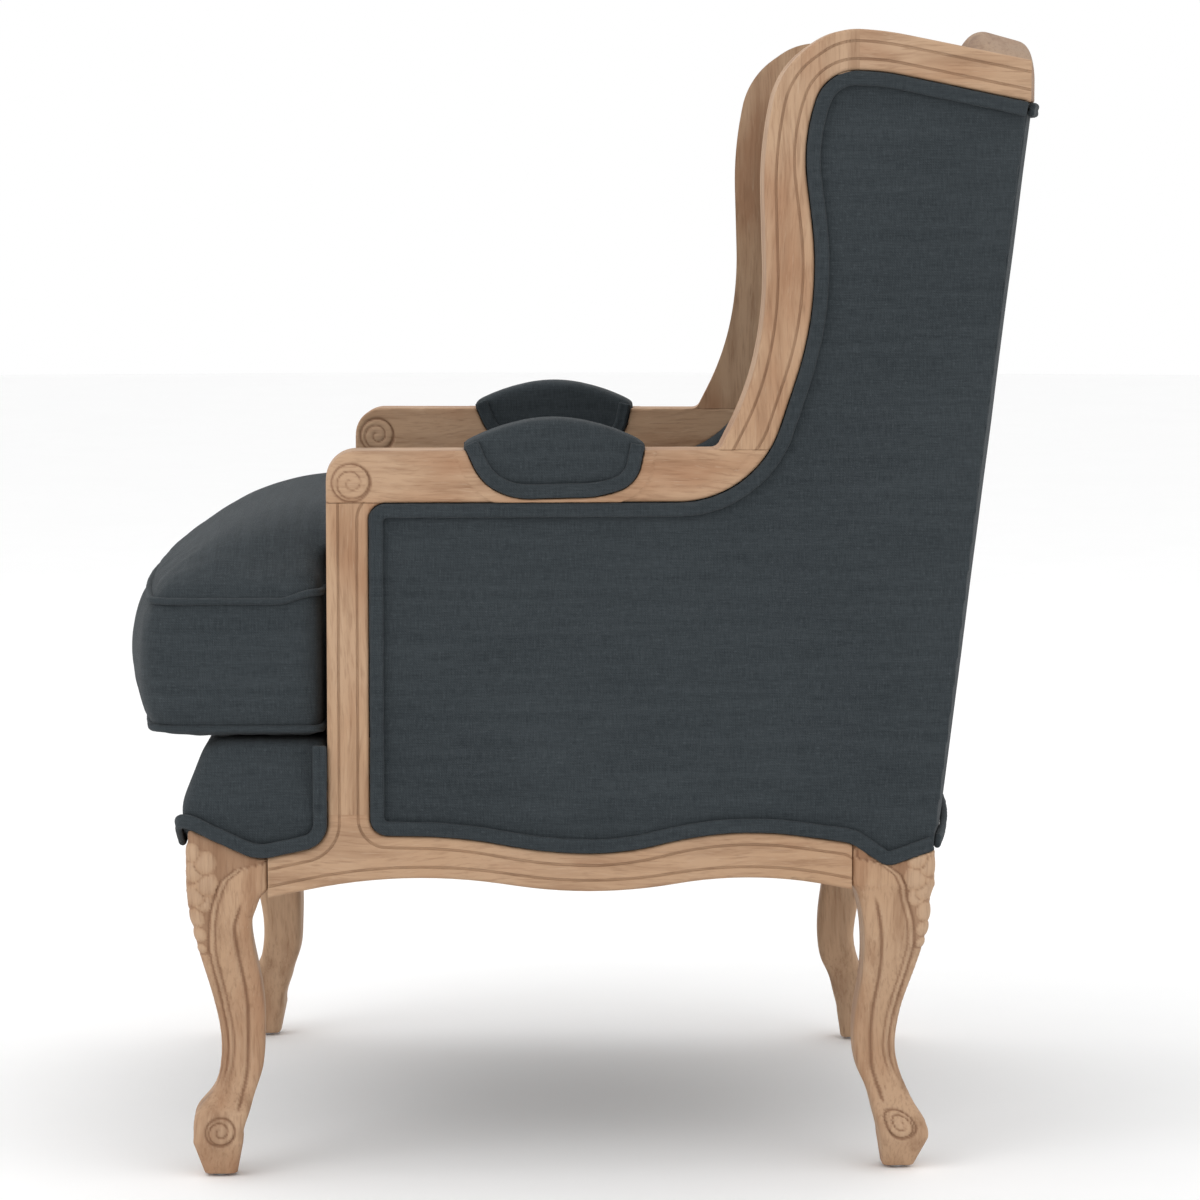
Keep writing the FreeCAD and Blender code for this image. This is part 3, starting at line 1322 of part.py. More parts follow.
def build():
    post, arm, wing, top, apron = side_frames()
    rail, arm_pad, arm_welt = arm_with_pad(arm)
    board = side_box("side board", (size.rebate, size.side_thickness),
                     (FRONT_JOINT, BACK_JOINT), (RAIL_BOTTOM, RAIL_TOP))
    hollow = side_box("side rail hollow", (size.apron_thickness, 100), (-FAR, FAR),
                      (0, RAIL_BOTTOM))
    seat = size.side_thickness
    notch = side_box("post notch", (-10, seat + 10), (POST_FRONT, POST_BACK), (POST_FOOT, FAR))
    side_rail = cut("side rail", fuse("side rail whole", cut("apron thinned", apron, hollow), board),
                    notch)
    front_left, front_foot = front_leg()
    back_left, back_foot = back_leg()
    foot_glides([front_foot, back_foot])
    front_face = on_side(size.front_knee, LEG_FRONT).y
    back_face = on_side(size.back_knee, BACK_LOW).y
    front_rail, front_inner = cross_rail("front rail", front_face, -1.0, 0.0, SHOW_LINE - 8)
    back_rail, back_inner = cross_rail("back rail", back_face, 1.0, 20.0, SHOW_BACK)
    crest = crest_rail()
    stile = back_stile(top)
    dowels = frame_dowels()
    screws = block_screws(front_inner, back_inner)
    front_block = corner_block("front block", LEG_FRONT, 1.0, size.front_knee, front_inner)
    back_block = corner_block("back block", BACK_LOW, -1.0, size.back_knee, back_inner)
    keep_pair("front_leg", cut("front leg drilled", front_left, dowels, screws))
    keep_pair("back_leg", cut("back leg drilled", back_left, dowels, screws))
    keep_pair("side_seat_rail", cut("side rail drilled", side_rail, dowels, screws))
    keep("front_seat_rail", cut("front rail drilled", front_rail, dowels, screws))
    keep("back_seat_rail", cut("back rail drilled", back_rail, dowels, screws))
    keep_pair("arm_post", cut("post drilled", post, dowels))
    keep_pair("arm_rail", cut("arm drilled", rail, dowels))
    keep_pair("wing_rail", cut("wing drilled", wing, dowels))
    keep_pair("wing_top_rail", cut("top drilled", top, dowels))
    keep("crest_rail", cut("crest drilled", crest, dowels))
    keep_pair("back_stile", cut("stile drilled", stile, dowels, nodes["crest_rail"]))
    keep_pair("arm_liner_rail", arm_liner_rail())
    keep("back_liner_rail", back_liner_rail())
    blocks = []
    for block in (front_block, back_block):
        left = cut("block drilled", block, screws)
        blocks += [left, mirror("block", left)]
    doc.recompute()
    solids = [solid for block in blocks for solid in block.Shape.Solids]
    keep("corner_blocks", shaped("corner_blocks", Part.makeCompound(solids)))

    keep_pair("outside_panel", outside_panel())
    keep_pair("side_welt", side_welt())
    keep("outside_back_panel", outside_back_panel())
    back_welts()
    keep_pair("inside_arm_pad", inside_arm_pad())
    keep("inside_back_pad", inside_back_pad())
    keep_pair("arm_pad", arm_pad)
    keep_pair("arm_pad_welt", arm_welt)
    seat_springs(front_inner, back_inner)
    hessian = new_body("seat_hessian")
    add_pad(hessian, "XY_Plane", RAIL_TOP, "Sizes.hessian",
            rounded(deck_plan(seat + 1, LEG_FRONT + 14, BACK_LOW - 50)))
    keep("seat_hessian", hessian)
    wood = [nodes[name] for name in ("front_leg_left", "front_leg_right", "front_seat_rail",
                                     "side_seat_rail_left", "side_seat_rail_right",
                                     "arm_post_left", "arm_post_right", "seat_hessian")]
    pad, line = front_edge_pad(wood)
    keep("front_edge_pad", pad)
    front_pad_welt(line)
    deck = new_body("seat_deck")
    deck_low = RAIL_TOP + size.hessian
    add_pad(deck, "XY_Plane", deck_low, DECK_TOP - deck_low,
            rounded(deck_plan(seat + 1, POST_FRONT, BACK_LOW - 43)))
    keep("seat_deck", deck)
    keep("back_webbing", back_webbing())
    dust_cover([nodes[name] for name in ("front_leg_left", "front_leg_right", "back_leg_left",
                                         "back_leg_right")])
    cushion()
    zip_fastener()


def check():
    """Every object is up to date and every sub-part is a sound shape."""
    doc.recompute()
    for thing in doc.Objects:
        bad = [state for state in thing.State if state in ("Invalid", "Error")]
        if bad:
            raise RuntimeError(f"{thing.Label} is {bad}")
    for name, thing in nodes.items():
        shape = thing.Shape
        if shape.isNull() or not shape.isValid() or not shape.Solids:
            raise RuntimeError(f"{name} has no sound shape")


def centre_on_floor():
    """Moves every sub-part so that the box of the whole chair is centred over the origin."""
    whole = FreeCAD.BoundBox()
    for thing in nodes.values():
        whole.add(thing.Shape.optimalBoundingBox(False, False))
    shift = Placement(Vector(0, -(whole.YMin + whole.YMax) / 2, 0), Rotation())
    for thing in nodes.values():
        thing.Placement = shift.multiply(thing.Placement)
    return whole


def write():
    os.makedirs("parts", exist_ok=True)
    for name, thing in nodes.items():
        thing.Shape.exportStep(f"parts/{name}.step")


build()
check()
box_of_chair = centre_on_floor()
write()
print(len(nodes), "sub-parts, box", box_of_chair)
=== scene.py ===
"""Looks of the bergere armchair: limed show wood, heathered linen and their trimmings."""

import math

import bpy
from bpy.props import FloatProperty, FloatVectorProperty, PointerProperty
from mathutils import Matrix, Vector, noise


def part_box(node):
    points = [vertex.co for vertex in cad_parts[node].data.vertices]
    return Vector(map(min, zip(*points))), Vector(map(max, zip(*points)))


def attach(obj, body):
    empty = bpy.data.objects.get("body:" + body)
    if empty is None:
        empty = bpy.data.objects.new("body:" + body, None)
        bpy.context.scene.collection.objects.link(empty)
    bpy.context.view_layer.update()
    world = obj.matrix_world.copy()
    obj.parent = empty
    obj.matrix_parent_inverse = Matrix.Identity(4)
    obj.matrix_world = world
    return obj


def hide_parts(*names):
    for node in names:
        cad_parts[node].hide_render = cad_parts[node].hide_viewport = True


bl_info = {
    "name": "Bergere Armchair",
    "version": (1, 0, 0),
    "blender": (4, 5, 0),
    "location": "View3D > Sidebar > Bergere",
    "description": "Dresses the frame of a winged bergere armchair",
    "category": "Mesh",
}

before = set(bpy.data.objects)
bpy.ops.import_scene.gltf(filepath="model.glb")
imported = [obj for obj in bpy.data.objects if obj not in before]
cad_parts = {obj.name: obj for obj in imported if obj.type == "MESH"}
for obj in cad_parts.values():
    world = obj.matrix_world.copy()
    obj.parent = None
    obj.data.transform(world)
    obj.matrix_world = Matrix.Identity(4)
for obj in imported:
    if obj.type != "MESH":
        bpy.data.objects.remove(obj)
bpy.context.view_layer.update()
MM = 0.001
FRAME = "chair_frame"
BOXES = {node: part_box(node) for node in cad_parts}
CUSHION = "seat_cushion"


def box_of(node):
    """Lowest and highest corner of a node."""
    return BOXES[node]


# sizes and colours that a user would change

class BergereWood(bpy.types.PropertyGroup):
    """The limed show wood."""

    tan: FloatVectorProperty(name="Wood", description="Colour of the bare wood", size=3,
                             subtype="COLOR", default=(0.43, 0.265, 0.155))
    dark: FloatVectorProperty(name="Grain", description="Colour of the open grain", size=3,
                              subtype="COLOR", default=(0.20, 0.098, 0.048))
    lime: FloatVectorProperty(name="Liming", description="Colour of the lime in the pores", size=3,
                              subtype="COLOR", default=(0.50, 0.36, 0.25))
    grey: FloatVectorProperty(name="Crest", description="Colour of the greyer crest", size=3,
                              subtype="COLOR", default=(0.27, 0.19, 0.13))
    carving_grid: FloatProperty(name="Carving grid", description="Mesh size of the carved pieces",
                                unit="LENGTH", default=1.45 * MM)
    splay: FloatProperty(name="Splay", description="Turn of the side frames in plan",
                         subtype="ANGLE", default=math.radians(2.5))


class BergereLinen(bpy.types.PropertyGroup):
    """The heathered upholstery linen."""

    yarn: FloatVectorProperty(name="Yarn", description="Colour of the cloth", size=3,
                              subtype="COLOR", default=(0.013, 0.017, 0.020))
    pale: FloatVectorProperty(name="Fleck", description="Colour of its pale fibres", size=3,
                              subtype="COLOR", default=(0.075, 0.088, 0.096))
    thread: FloatProperty(name="Thread", description="From one thread to the next", unit="LENGTH",
                          default=1.1 * MM)
    grid: FloatProperty(name="Grid", description="Mesh size of the large pads", unit="LENGTH",
                        default=7.2 * MM)
    panel_grid: FloatProperty(name="Panel grid", description="Mesh size of the thin panels",
                              unit="LENGTH", default=3 * MM)
    welt_grid: FloatProperty(name="Welt grid", description="Mesh size of welts and piping",
                             unit="LENGTH", default=1.6 * MM)
    pucker: FloatProperty(name="Pucker", description="Height of the gathers beside a seam",
                          unit="LENGTH", default=1.3 * MM)


class BergereStage(bpy.types.PropertyGroup):
    """Floor, lights and camera."""

    floor: FloatVectorProperty(name="Floor", description="Colour of the floor", size=3,
                               subtype="COLOR", default=(0.96, 0.96, 0.96))
    sky: FloatProperty(name="Sky", description="Strength of the even light", default=1.0)
    key: FloatProperty(name="Key", description="Power of the key light", default=48.0)
    lens: FloatProperty(name="Lens", description="Focal length", default=139.2, unit="CAMERA")
    camera: FloatVectorProperty(name="Camera", description="Place of the camera", size=3,
                                subtype="TRANSLATION", default=(4.4, -0.026469, 0.917535))
    tilt: FloatProperty(name="Tilt", description="Camera down from level", subtype="ANGLE",
                        default=math.radians(5.66168))
    turn: FloatProperty(name="Turn", description="Camera off the cross axis", subtype="ANGLE",
                        default=math.radians(0.552942))


# shader arithmetic

class Flow:
    """A value in a node tree: arithmetic on it adds Math nodes."""

    def __init__(self, graph, socket):
        self.graph = graph
        self.socket = socket

    def math(self, operation, *others, clamp=False):
        values = {0: self}
        values.update({i: other for i, other in enumerate(others, 1)})
        return self.graph.add("Math", values, operation=operation, use_clamp=clamp)

    def __add__(self, other):
        return self.math("ADD", other)

    def __radd__(self, other):
        return self.math("ADD", other)

    def __sub__(self, other):
        return self.math("SUBTRACT", other)

    def __rsub__(self, other):
        return self.graph.add("Math", {0: other, 1: self}, operation="SUBTRACT")

    def __mul__(self, other):
        return self.math("MULTIPLY", other)

    def __rmul__(self, other):
        return self.math("MULTIPLY", other)

    def __truediv__(self, other):
        return self.math("DIVIDE", other)

    def __gt__(self, other):
        return self.math("GREATER_THAN", other)

    def over(self, low, high):
        """0 at low, 1 at high, and clamped between them."""
        return self.graph.add("MapRange", {"Value": self, "From Min": low, "From Max": high},
                              clamp=True)

    def sine(self):
        return self.math("SINE")

    def absolute(self):
        return self.math("ABSOLUTE")

    def largest(self, other):
        return self.math("MAXIMUM", other)


class Graph:
    """One material, built on its own Principled shader."""

    def __init__(self, name):
        self.material = bpy.data.materials.new(name)
        self.material.use_nodes = True
        self.tree = self.material.node_tree
        self.shader = self.tree.nodes["Principled BSDF"]

    def add(self, kind, inputs=None, output=0, **settings):
        """A node of a kind, its settings first, then the values or links of its sockets."""
        node = self.tree.nodes.new(f"ShaderNode{kind}")
        for name, value in settings.items():
            setattr(node, name, value)
        for name, value in (inputs or {}).items():
            self.feed(node.inputs[name], value)
        return Flow(self, node.outputs[output])

    def feed(self, socket, value):
        if isinstance(value, Flow):
            self.tree.links.new(value.socket, socket)
        else:
            socket.default_value = value

    def surface(self, **inputs):
        for name, value in inputs.items():
            self.feed(self.shader.inputs[name.replace("_", " ")], value)
        return self.material

    def place(self, output="Object"):
        return self.add("TexCoord", output=output)

    def split(self, vector):
        flow = self.add("SeparateXYZ", {0: vector})
        node = flow.socket.node
        return [Flow(self, node.outputs[i]) for i in range(3)]

    def join(self, x, y, z=0.0):
        return self.add("CombineXYZ", {0: x, 1: y, 2: z})

    def blend(self, factor, first, second):
        """Between two colours."""
        node = self.add("Mix", {0: factor}, data_type="RGBA").socket.node
        self.feed(node.inputs[6], first)
        self.feed(node.inputs[7], second)
        return Flow(self, node.outputs[2])

    def choose(self, factor, first, second):
        """Between two numbers."""
        return self.add("Mix", {0: factor, 2: first, 3: second}, data_type="FLOAT")

    def speckle(self, vector, scale, detail=2.0, roughness=0.5):
        return self.add("TexNoise", {"Vector": vector, "Scale": scale, "Detail": detail,
                                     "Roughness": roughness})

    def bump(self, height, strength, distance):
        return self.add("Bump", {"Height": height, "Strength": strength, "Distance": distance})


def rgba(colour):
    return (*colour, 1.0)


def on_cloth(graph):
    """Two coordinates along the threads, whichever way the surface faces."""
    x, y, z = graph.split(graph.place())
    facing = [flow.absolute() for flow in graph.split(graph.place("Normal"))]
    sideways = facing[0] > facing[1].largest(facing[2])
    upwards = facing[2] > facing[0].largest(facing[1])
    return graph.choose(sideways, x, y), graph.choose(upwards, z, y)


def linen(name, yarn, pale, thread):
    """Heathered twill: slubs along both threads, a fine diagonal and pale fibres."""
    graph = Graph(name)
    across, along = on_cloth(graph)
    turn = 2 * math.pi / thread
    weft = graph.speckle(graph.join(across * 70, along * 900), 1.0, 3.0, 0.6)
    warp = graph.speckle(graph.join(across * 900, along * 70, 3.0), 1.0, 3.0, 0.6)
    twill = ((across + along) * (turn * 0.5)).sine() * 0.5 + 0.5
    rib = (across * turn).sine() * (along * turn).sine()
    cloud = graph.speckle(graph.place(), 7.0, 3.0)
    streak = graph.speckle(graph.join(across * 9, along * 130, 5.0), 1.0, 2.0)
    tone = (weft.over(0.3, 0.7) + warp.over(0.3, 0.7)) * 0.5
    fleck = (graph.speckle(graph.join(across * 260, along * 520, 7.0), 1.0, 2.0).over(0.6, 0.78)
             * 0.5 + graph.speckle(graph.join(across * 520, along * 260, 11.0), 1.0, 2.0)
             .over(0.6, 0.78) * 0.5)
    mixture = (tone * 0.40 + twill * 0.12 + cloud.over(0.3, 0.7) * 0.08
               + streak.over(0.35, 0.7) * 0.10 + fleck * 0.45)
    colour = graph.blend(mixture, rgba(yarn), rgba(pale))
    height = rib * 0.35 + twill * 0.35 + tone * 0.6
    return graph.surface(
        Base_Color=colour, Roughness=0.95, Sheen_Weight=0.06, Sheen_Roughness=0.5,
        Specular_IOR_Level=0.12, Normal=graph.bump(height, 0.5, 0.5 * MM))


def oak(name, grain, tan, dark, lime, worn=1.0):
    """Limed wood with its grain along one axis."""
    graph = Graph(name)
    stretch = [1.0, 1.0, 1.0]
    stretch["XYZ".index(grain)] = 0.075
    raw = graph.place()
    bent = graph.add("VectorMath", {
        0: raw, 1: graph.add("VectorMath", {0: graph.add("TexNoise", {"Vector": raw, "Scale": 5.0},
                                                         output=1), 1: (0.022, 0.022, 0.022)},
                             operation="MULTIPLY")}, operation="ADD")
    place = graph.add("Mapping", {"Vector": bent, "Scale": stretch})
    rings = graph.speckle(place, 62.0, 4.0, 0.62)
    fibres = graph.speckle(place, 420.0, 3.0, 0.6)
    pores = graph.speckle(place, 800.0, 1.0)
    tone = graph.speckle(raw, 6.5, 4.0, 0.6)
    stain = graph.speckle(graph.add("Mapping", {
        "Vector": raw, "Scale": [1.0 if s == 1.0 else 0.35 for s in stretch]}), 19.0, 3.0, 0.55)
    knots = graph.add("TexVoronoi", {"Vector": graph.add("Mapping", {
        "Vector": raw, "Scale": [1.0 if s == 1.0 else 0.5 for s in stretch]}), "Scale": 11.0})
    knot = 1 - knots.over(0.02, 0.12)
    red = [dark[0] * 1.35, dark[1] * 1.15, dark[2]]
    body = graph.blend(tone.over(0.25, 0.75) * 0.5, rgba(tan), rgba(lime))
    body = graph.blend(stain.over(0.48, 0.68) * 0.55 * worn, body, rgba(red))
    body = graph.blend(rings.over(0.48, 0.68) * 0.48, body, rgba(dark))
    body = graph.blend(fibres.over(0.5, 0.72) * 0.42, body, rgba([c * 0.9 for c in dark]))
    body = graph.blend(knot * 0.55 * worn, body, rgba([c * 0.5 for c in dark]))
    body = graph.blend(pores.over(0.62, 0.8) * 0.35, body, rgba(lime))
    # painted shade: the carving depth darkens the wood in the recesses, where shade falls
    painted_recess_shade = graph.add("Attribute", attribute_name="painted_recess_shade", output=2)
    ridge = graph.add("Attribute", attribute_name="ridge", output=2)
    body = graph.blend(ridge * 0.35, body, rgba(lime))
    body = graph.blend(painted_recess_shade * 0.62, body, rgba([dark[0] * 0.75, dark[1] * 0.62, dark[2] * 0.55]))
    height = fibres * 0.5 + rings * 0.35 - pores.over(0.6, 0.75) * 0.35
    return graph.surface(
        Base_Color=body, Roughness=tone * 0.16 + 0.58, Specular_IOR_Level=0.3,
        Normal=graph.bump(height, 0.35, 0.6 * MM))


def plain(name, colour, roughness, metallic=0.0, scale=300.0, relief=0.15, depth=0.3 * MM,
          variation=0.25):
    """A finish with a fine speckle: steel, cloth or foam."""
    graph = Graph(name)
    grit = graph.speckle(graph.place(), scale, 3.0, 0.6)
    cloud = graph.speckle(graph.place(), 14.0, 2.0)
    colour_flow = graph.blend(grit.over(0.3, 0.7) * 0.6 + cloud.over(0.3, 0.7) * 0.4,
                              rgba([c * (1 - variation) for c in colour]),
                              rgba([min(c * (1 + variation), 1.0) for c in colour]))
    return graph.surface(Base_Color=colour_flow, Roughness=cloud * 0.2 + (roughness - 0.1),
                         Metallic=metallic, Normal=graph.bump(grit, relief, depth))


def sacking(name, colour, gap, pitch=1.7 * MM):
    """Open plain weave of jute."""
    graph = Graph(name)
    across, along = on_cloth(graph)
    turn = 2 * math.pi / pitch
    wave = (across * turn).sine() * (along * turn).sine()
    slub = graph.speckle(graph.join(across * 40, along * 500), 1.0, 2.0)
    shade = wave * 0.3 + slub * 0.7
    colour_flow = graph.blend(shade.over(0.1, 0.8), rgba([c * gap for c in colour]), rgba(colour))
    return graph.surface(Base_Color=colour_flow, Roughness=0.92,
                         Normal=graph.bump(shade, 0.6, 0.7 * MM))


MATERIALS = {}


def finish_named(name, maker, *values, **settings):
    if name not in MATERIALS:
        MATERIALS[name] = maker(name, *values, **settings)
    return MATERIALS[name]


def show_wood(grain):
    wood = bpy.context.scene.bergere_wood
    return finish_named(f"limed_oak_{grain}", oak, grain, wood.tan, wood.dark, wood.lime)


def crest_wood(grain):
    wood = bpy.context.scene.bergere_wood
    return finish_named(f"grey_oak_{grain}", oak, grain, wood.grey,
                        [c * 0.8 for c in wood.dark], wood.tan)


def bare_wood(grain):
    return finish_named(f"bare_beech_{grain}", oak, grain, (0.55, 0.38, 0.22), (0.38, 0.24, 0.12),
                        (0.62, 0.46, 0.30), worn=0.2)


def slate_linen():
    cloth = bpy.context.scene.bergere_linen
    return finish_named("slate_linen", linen, cloth.yarn, cloth.pale, cloth.thread)


def steel():
    return finish_named("spring_steel", plain, (0.42, 0.42, 0.43), 0.42, 1.0)


# making pieces

def only(piece):
    bpy.ops.object.select_all(action="DESELECT")
    piece.select_set(True)
    bpy.context.view_layer.objects.active = piece


def apply_all(piece):
    only(piece)
    for modifier in list(piece.modifiers):
        bpy.ops.object.modifier_apply(modifier=modifier.name)


def dress(piece, material, slot, body, *nodes):
    piece.data.materials.clear()
    piece.data.materials.append(material)
    if nodes:
        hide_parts(*nodes)
    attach(piece, body)
    return piece


def copy_of(node, name):
    """The node's mesh in a new piece, its loose triangles joined."""
    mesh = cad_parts[node].data.copy()
    mesh.name = name
    piece = bpy.data.objects.new(name, mesh)
    bpy.context.collection.objects.link(piece)
    only(piece)
    bpy.ops.object.mode_set(mode="EDIT")
    bpy.ops.mesh.select_all(action="SELECT")
    bpy.ops.mesh.remove_doubles(threshold=0.02 * MM)
    bpy.ops.mesh.normals_make_consistent(inside=False)
    bpy.ops.object.mode_set(mode="OBJECT")
    return piece


def remesh(piece, grid):
    modifier = piece.modifiers.new("Cloth grid", "REMESH")
    modifier.mode = "VOXEL"
    modifier.voxel_size = grid
    modifier.use_smooth_shade = True
    apply_all(piece)
    return piece


def relax(piece, times, factor=0.5):
    modifier = piece.modifiers.new("Relax", "SMOOTH")
    modifier.iterations = times
    modifier.factor = factor
    apply_all(piece)


def stuff(piece, swell, held):
    """Swells a pad by up to swell where it is free, and less towards its seams.

    held gives how firmly a point is sewn down, from 0 to 1.
    """
    shift_points(piece, lambda p, n: swell * step_up(1 - held(p), 0.0, 1.0))
    relax(piece, 3)
    return piece


def near(value, place, full, none):
    """1 within full of a place, 0 beyond none."""
    return min(max((none - abs(value - place)) / (none - full), 0.0), 1.0)


def step_up(value, low, high):
    """0 below low, 1 above high, smooth between."""
    share = min(max((value - low) / (high - low), 0.0), 1.0)
    return share * share * (3 - 2 * share)


def mirrored(piece, name):
    """The same piece for the other side, its faces turned the right way round."""
    mesh = piece.data.copy()
    mesh.name = name
    twin = bpy.data.objects.new(name, mesh)
    bpy.context.collection.objects.link(twin)
    for vertex in mesh.vertices:
        vertex.co.x = -vertex.co.x
    mesh.flip_normals()
    return twin


def refine(piece):
    modifier = piece.modifiers.new("Refine", "SUBSURF")
    modifier.levels = 1
    modifier.render_levels = 1
    apply_all(piece)
    only(piece)
    bpy.ops.object.shade_smooth()
    return piece


def thin_out(piece, share):
    """Keeps a share of the faces of a mesh that is finer than its form needs."""
    modifier = piece.modifiers.new("Thin out", "DECIMATE")
    modifier.ratio = share
    apply_all(piece)


def shift_points(piece, move):
    """Moves every point along its normal by move(point, normal)."""
    mesh = piece.data
    normals = [vertex.normal.copy() for vertex in mesh.vertices]
    for vertex, normal in zip(mesh.vertices, normals):
        vertex.co += normal * move(vertex.co, normal)
    mesh.update()


def ripple(point, size, seed=0.0):
    """Smooth noise from -1 to 1, of a wavelength."""
    return noise.noise(Vector((point.x + seed, point.y - seed, point.z + 2 * seed)) / size)


def welt_piece(node, name, body=FRAME, shape=None):
    """Cloth-covered cord: the node's own form, a little uneven as sewn cloth is."""
    grid = bpy.context.scene.bergere_linen.welt_grid
    piece = remesh(copy_of(node, name), grid * (1.0))
    relax(piece, 1)
    if shape is not None:
        for vertex in piece.data.vertices:
            vertex.co += shape(vertex.co)
    shift_points(piece, lambda p, n: 0.22 * MM * ripple(p, 9 * MM) + 0.2 * MM * ripple(p, 24 * MM))
    return dress(piece, slate_linen(), "linen", body, node)


# carving

LEAF = [
    # lobes of the leaf on a knee, in mm: from the corner of the leg, above the floor, radius
    (3.0, 206, 4.5), (4.0, 219, 6.5), (4.5, 234.5, 8), (13.0, 249, 8.5), (6.5, 255, 9.5),
    (17.4, 265, 10.5), (6.0, 277, 9.5), (16.2, 284, 10), (3.8, 293, 8),
]
BEAD = [
    # front line of the leg's moulding, in mm: above the floor, from the corner of the leg
    (60, 5), (92, 5), (149, 6), (183, 8), (205, 9.5), (228, 15), (250, 22), (268, 30), (278, 43),
    (284, 70),
]


def along_line(line, value):
    """The second figure of a list of pairs, at a value of the first."""
    for (low, first), (high, second) in zip(line, line[1:]):
        if value <= high:
            share = max((value - low) / (high - low), 0.0)
            return first + (second - first) * share
    return line[-1][1]


def furrow(distance, width, depth):
    """Cross-section of a cut gouge line."""
    return -depth * math.exp(-(distance / width) ** 2)


def leaf_height(across, up):
    """Height of the carved leaf at a point of a knee, in mm."""
    height = None
    for place, level, radius in LEAF:
        reach = math.hypot(across - place, (up - level) * 0.9) / radius
        if reach < 1:
            vein = 0.35 * math.exp(-((across - place) / 1.1) ** 2) * (1 - reach)
            height = 1.7 * math.sqrt(1 - reach * reach) - 0.7 - vein
    return height


def scroll_height(across, up, radius, turns):
    """Height of a spiral scroll about its centre, in mm."""
    reach = math.hypot(across, up)
    if reach > radius + 3:
        return 0.0
    rim = furrow(reach - radius, 0.9, 1.1)
    if reach > radius:
        return rim
    angle = math.atan2(up, across) / (2 * math.pi)
    pitch = (radius - 2.5) / turns
    spiral = (reach / pitch - angle) % 1.0
    ridge = furrow(min(spiral, 1 - spiral) * pitch, 0.8, 1.0) * step_up(reach, 1.5, 3.0)
    return rim + ridge + 0.5 * (1 - reach / radius)


def leg_relief(across, width, up):
    """Height of the carving on one outer face of a leg, all in mm.

    across is from the leg's corner, width that of the face, up from the floor.
    """
    leaf = leaf_height(across, up)
    bead = along_line(BEAD, up)
    if leaf is not None and across < bead - 1:
        return leaf
    height = 0.0
    if up > 58:
        line = across - bead
        clear = step_up(up, 76, 96)
        height += (furrow(line, 1.1, 0.9) + furrow(line - 5.5, 1.0, 0.7)) * clear
        height += 0.5 * math.exp(-((line - 2.7) / 1.5) ** 2) * clear
        if up < 252:
            rear = width - across - (11 + 4 * step_up(up, 64, 110))
            fade = (1 - step_up(up, 236, 252)) * step_up(up, 58, 66)
            height += (furrow(rear, 1.3, 1.2) + 0.35 * math.exp(-((rear - 3.2) / 1.2) ** 2)) * fade
    if up > 200 and across < bead:
        height -= 0.5
    if up < 58:
        height += scroll_height(across - 23.7, up - 41.7, 12.9, 1.6)
    return height


def local_side(point, side):
    """A point or a direction in the axes of a side frame: outwards, backwards, up."""
    turn = bpy.context.scene.bergere_wood.splay
    x = point.x * side
    return Vector((x * math.cos(turn) + point.y * math.sin(turn),
                   -x * math.sin(turn) + point.y * math.cos(turn), point.z))


def carve(piece, heights, normals):
    """Raises every point by its height in mm, and notes the carved recesses, for the painted shade
    there, and the raised parts, where wear shows.
    """
    painted_recess_shade = piece.data.attributes.new("painted_recess_shade", "FLOAT", "POINT")
    ridge = piece.data.attributes.new("ridge", "FLOAT", "POINT")
    for index, (vertex, normal, height) in enumerate(zip(piece.data.vertices, normals, heights)):
        vertex.co += normal * (height * MM)
        # depth of the carving, read by the wood shader to paint shade into the recesses
        painted_recess_shade.data[index].value = min(max(-height / 1.1, 0.0), 1.0)
        ridge.data[index].value = min(max(height / 1.6, 0.0), 1.0)
    piece.data.update()


def spans(points, slice_height):
    """Least and greatest of two coordinates in each slice of height."""
    table = {}
    for point in points:
        key = int(point.z / slice_height)
        low_x, high_x, low_y, high_y = table.get(key, (9, -9, 9, -9))
        table[key] = (min(low_x, point.x), max(high_x, point.x),
                      min(low_y, point.y), max(high_y, point.y))
    return table


def carve_leg(node, side, back):
    """A leg with its mouldings, the leaf on its knee and the scroll on its foot."""
    grid = bpy.context.scene.bergere_wood.carving_grid * 1.0
    piece = remesh(copy_of(node, f"{node}_carved"), grid)
    relax(piece, 1)
    places = [local_side(vertex.co, side) for vertex in piece.data.vertices]
    facings = [local_side(vertex.normal, side) for vertex in piece.data.vertices]
    normals = [vertex.normal.copy() for vertex in piece.data.vertices]
    slice_height = 3 * MM
    table = spans(places, slice_height)
    heights = []
    for place, facing in zip(places, facings):
        low_x, high_x, low_y, high_y = table[int(place.z / slice_height)]
        from_side = high_x - place.x
        from_end = high_y - place.y if back else place.y - low_y
        outward = facing.y if back else -facing.y
        up = place.z / MM
        height = 0.0
        for toward, across, width in ((facing.x, from_end, high_y - low_y),
                                      (outward, from_side, high_x - low_x)):
            weight = step_up(toward, 0.35, 0.75)
            if weight > 0:
                height += weight * leg_relief(across / MM, width / MM, up)
        both = step_up(facing.x, 0.35, 0.75) * step_up(outward, 0.35, 0.75)
        heights.append(1.5 * height / (1 + both))
    carve(piece, heights, normals)
    return dress(piece, show_wood("Z"), "show_wood", FRAME, node)


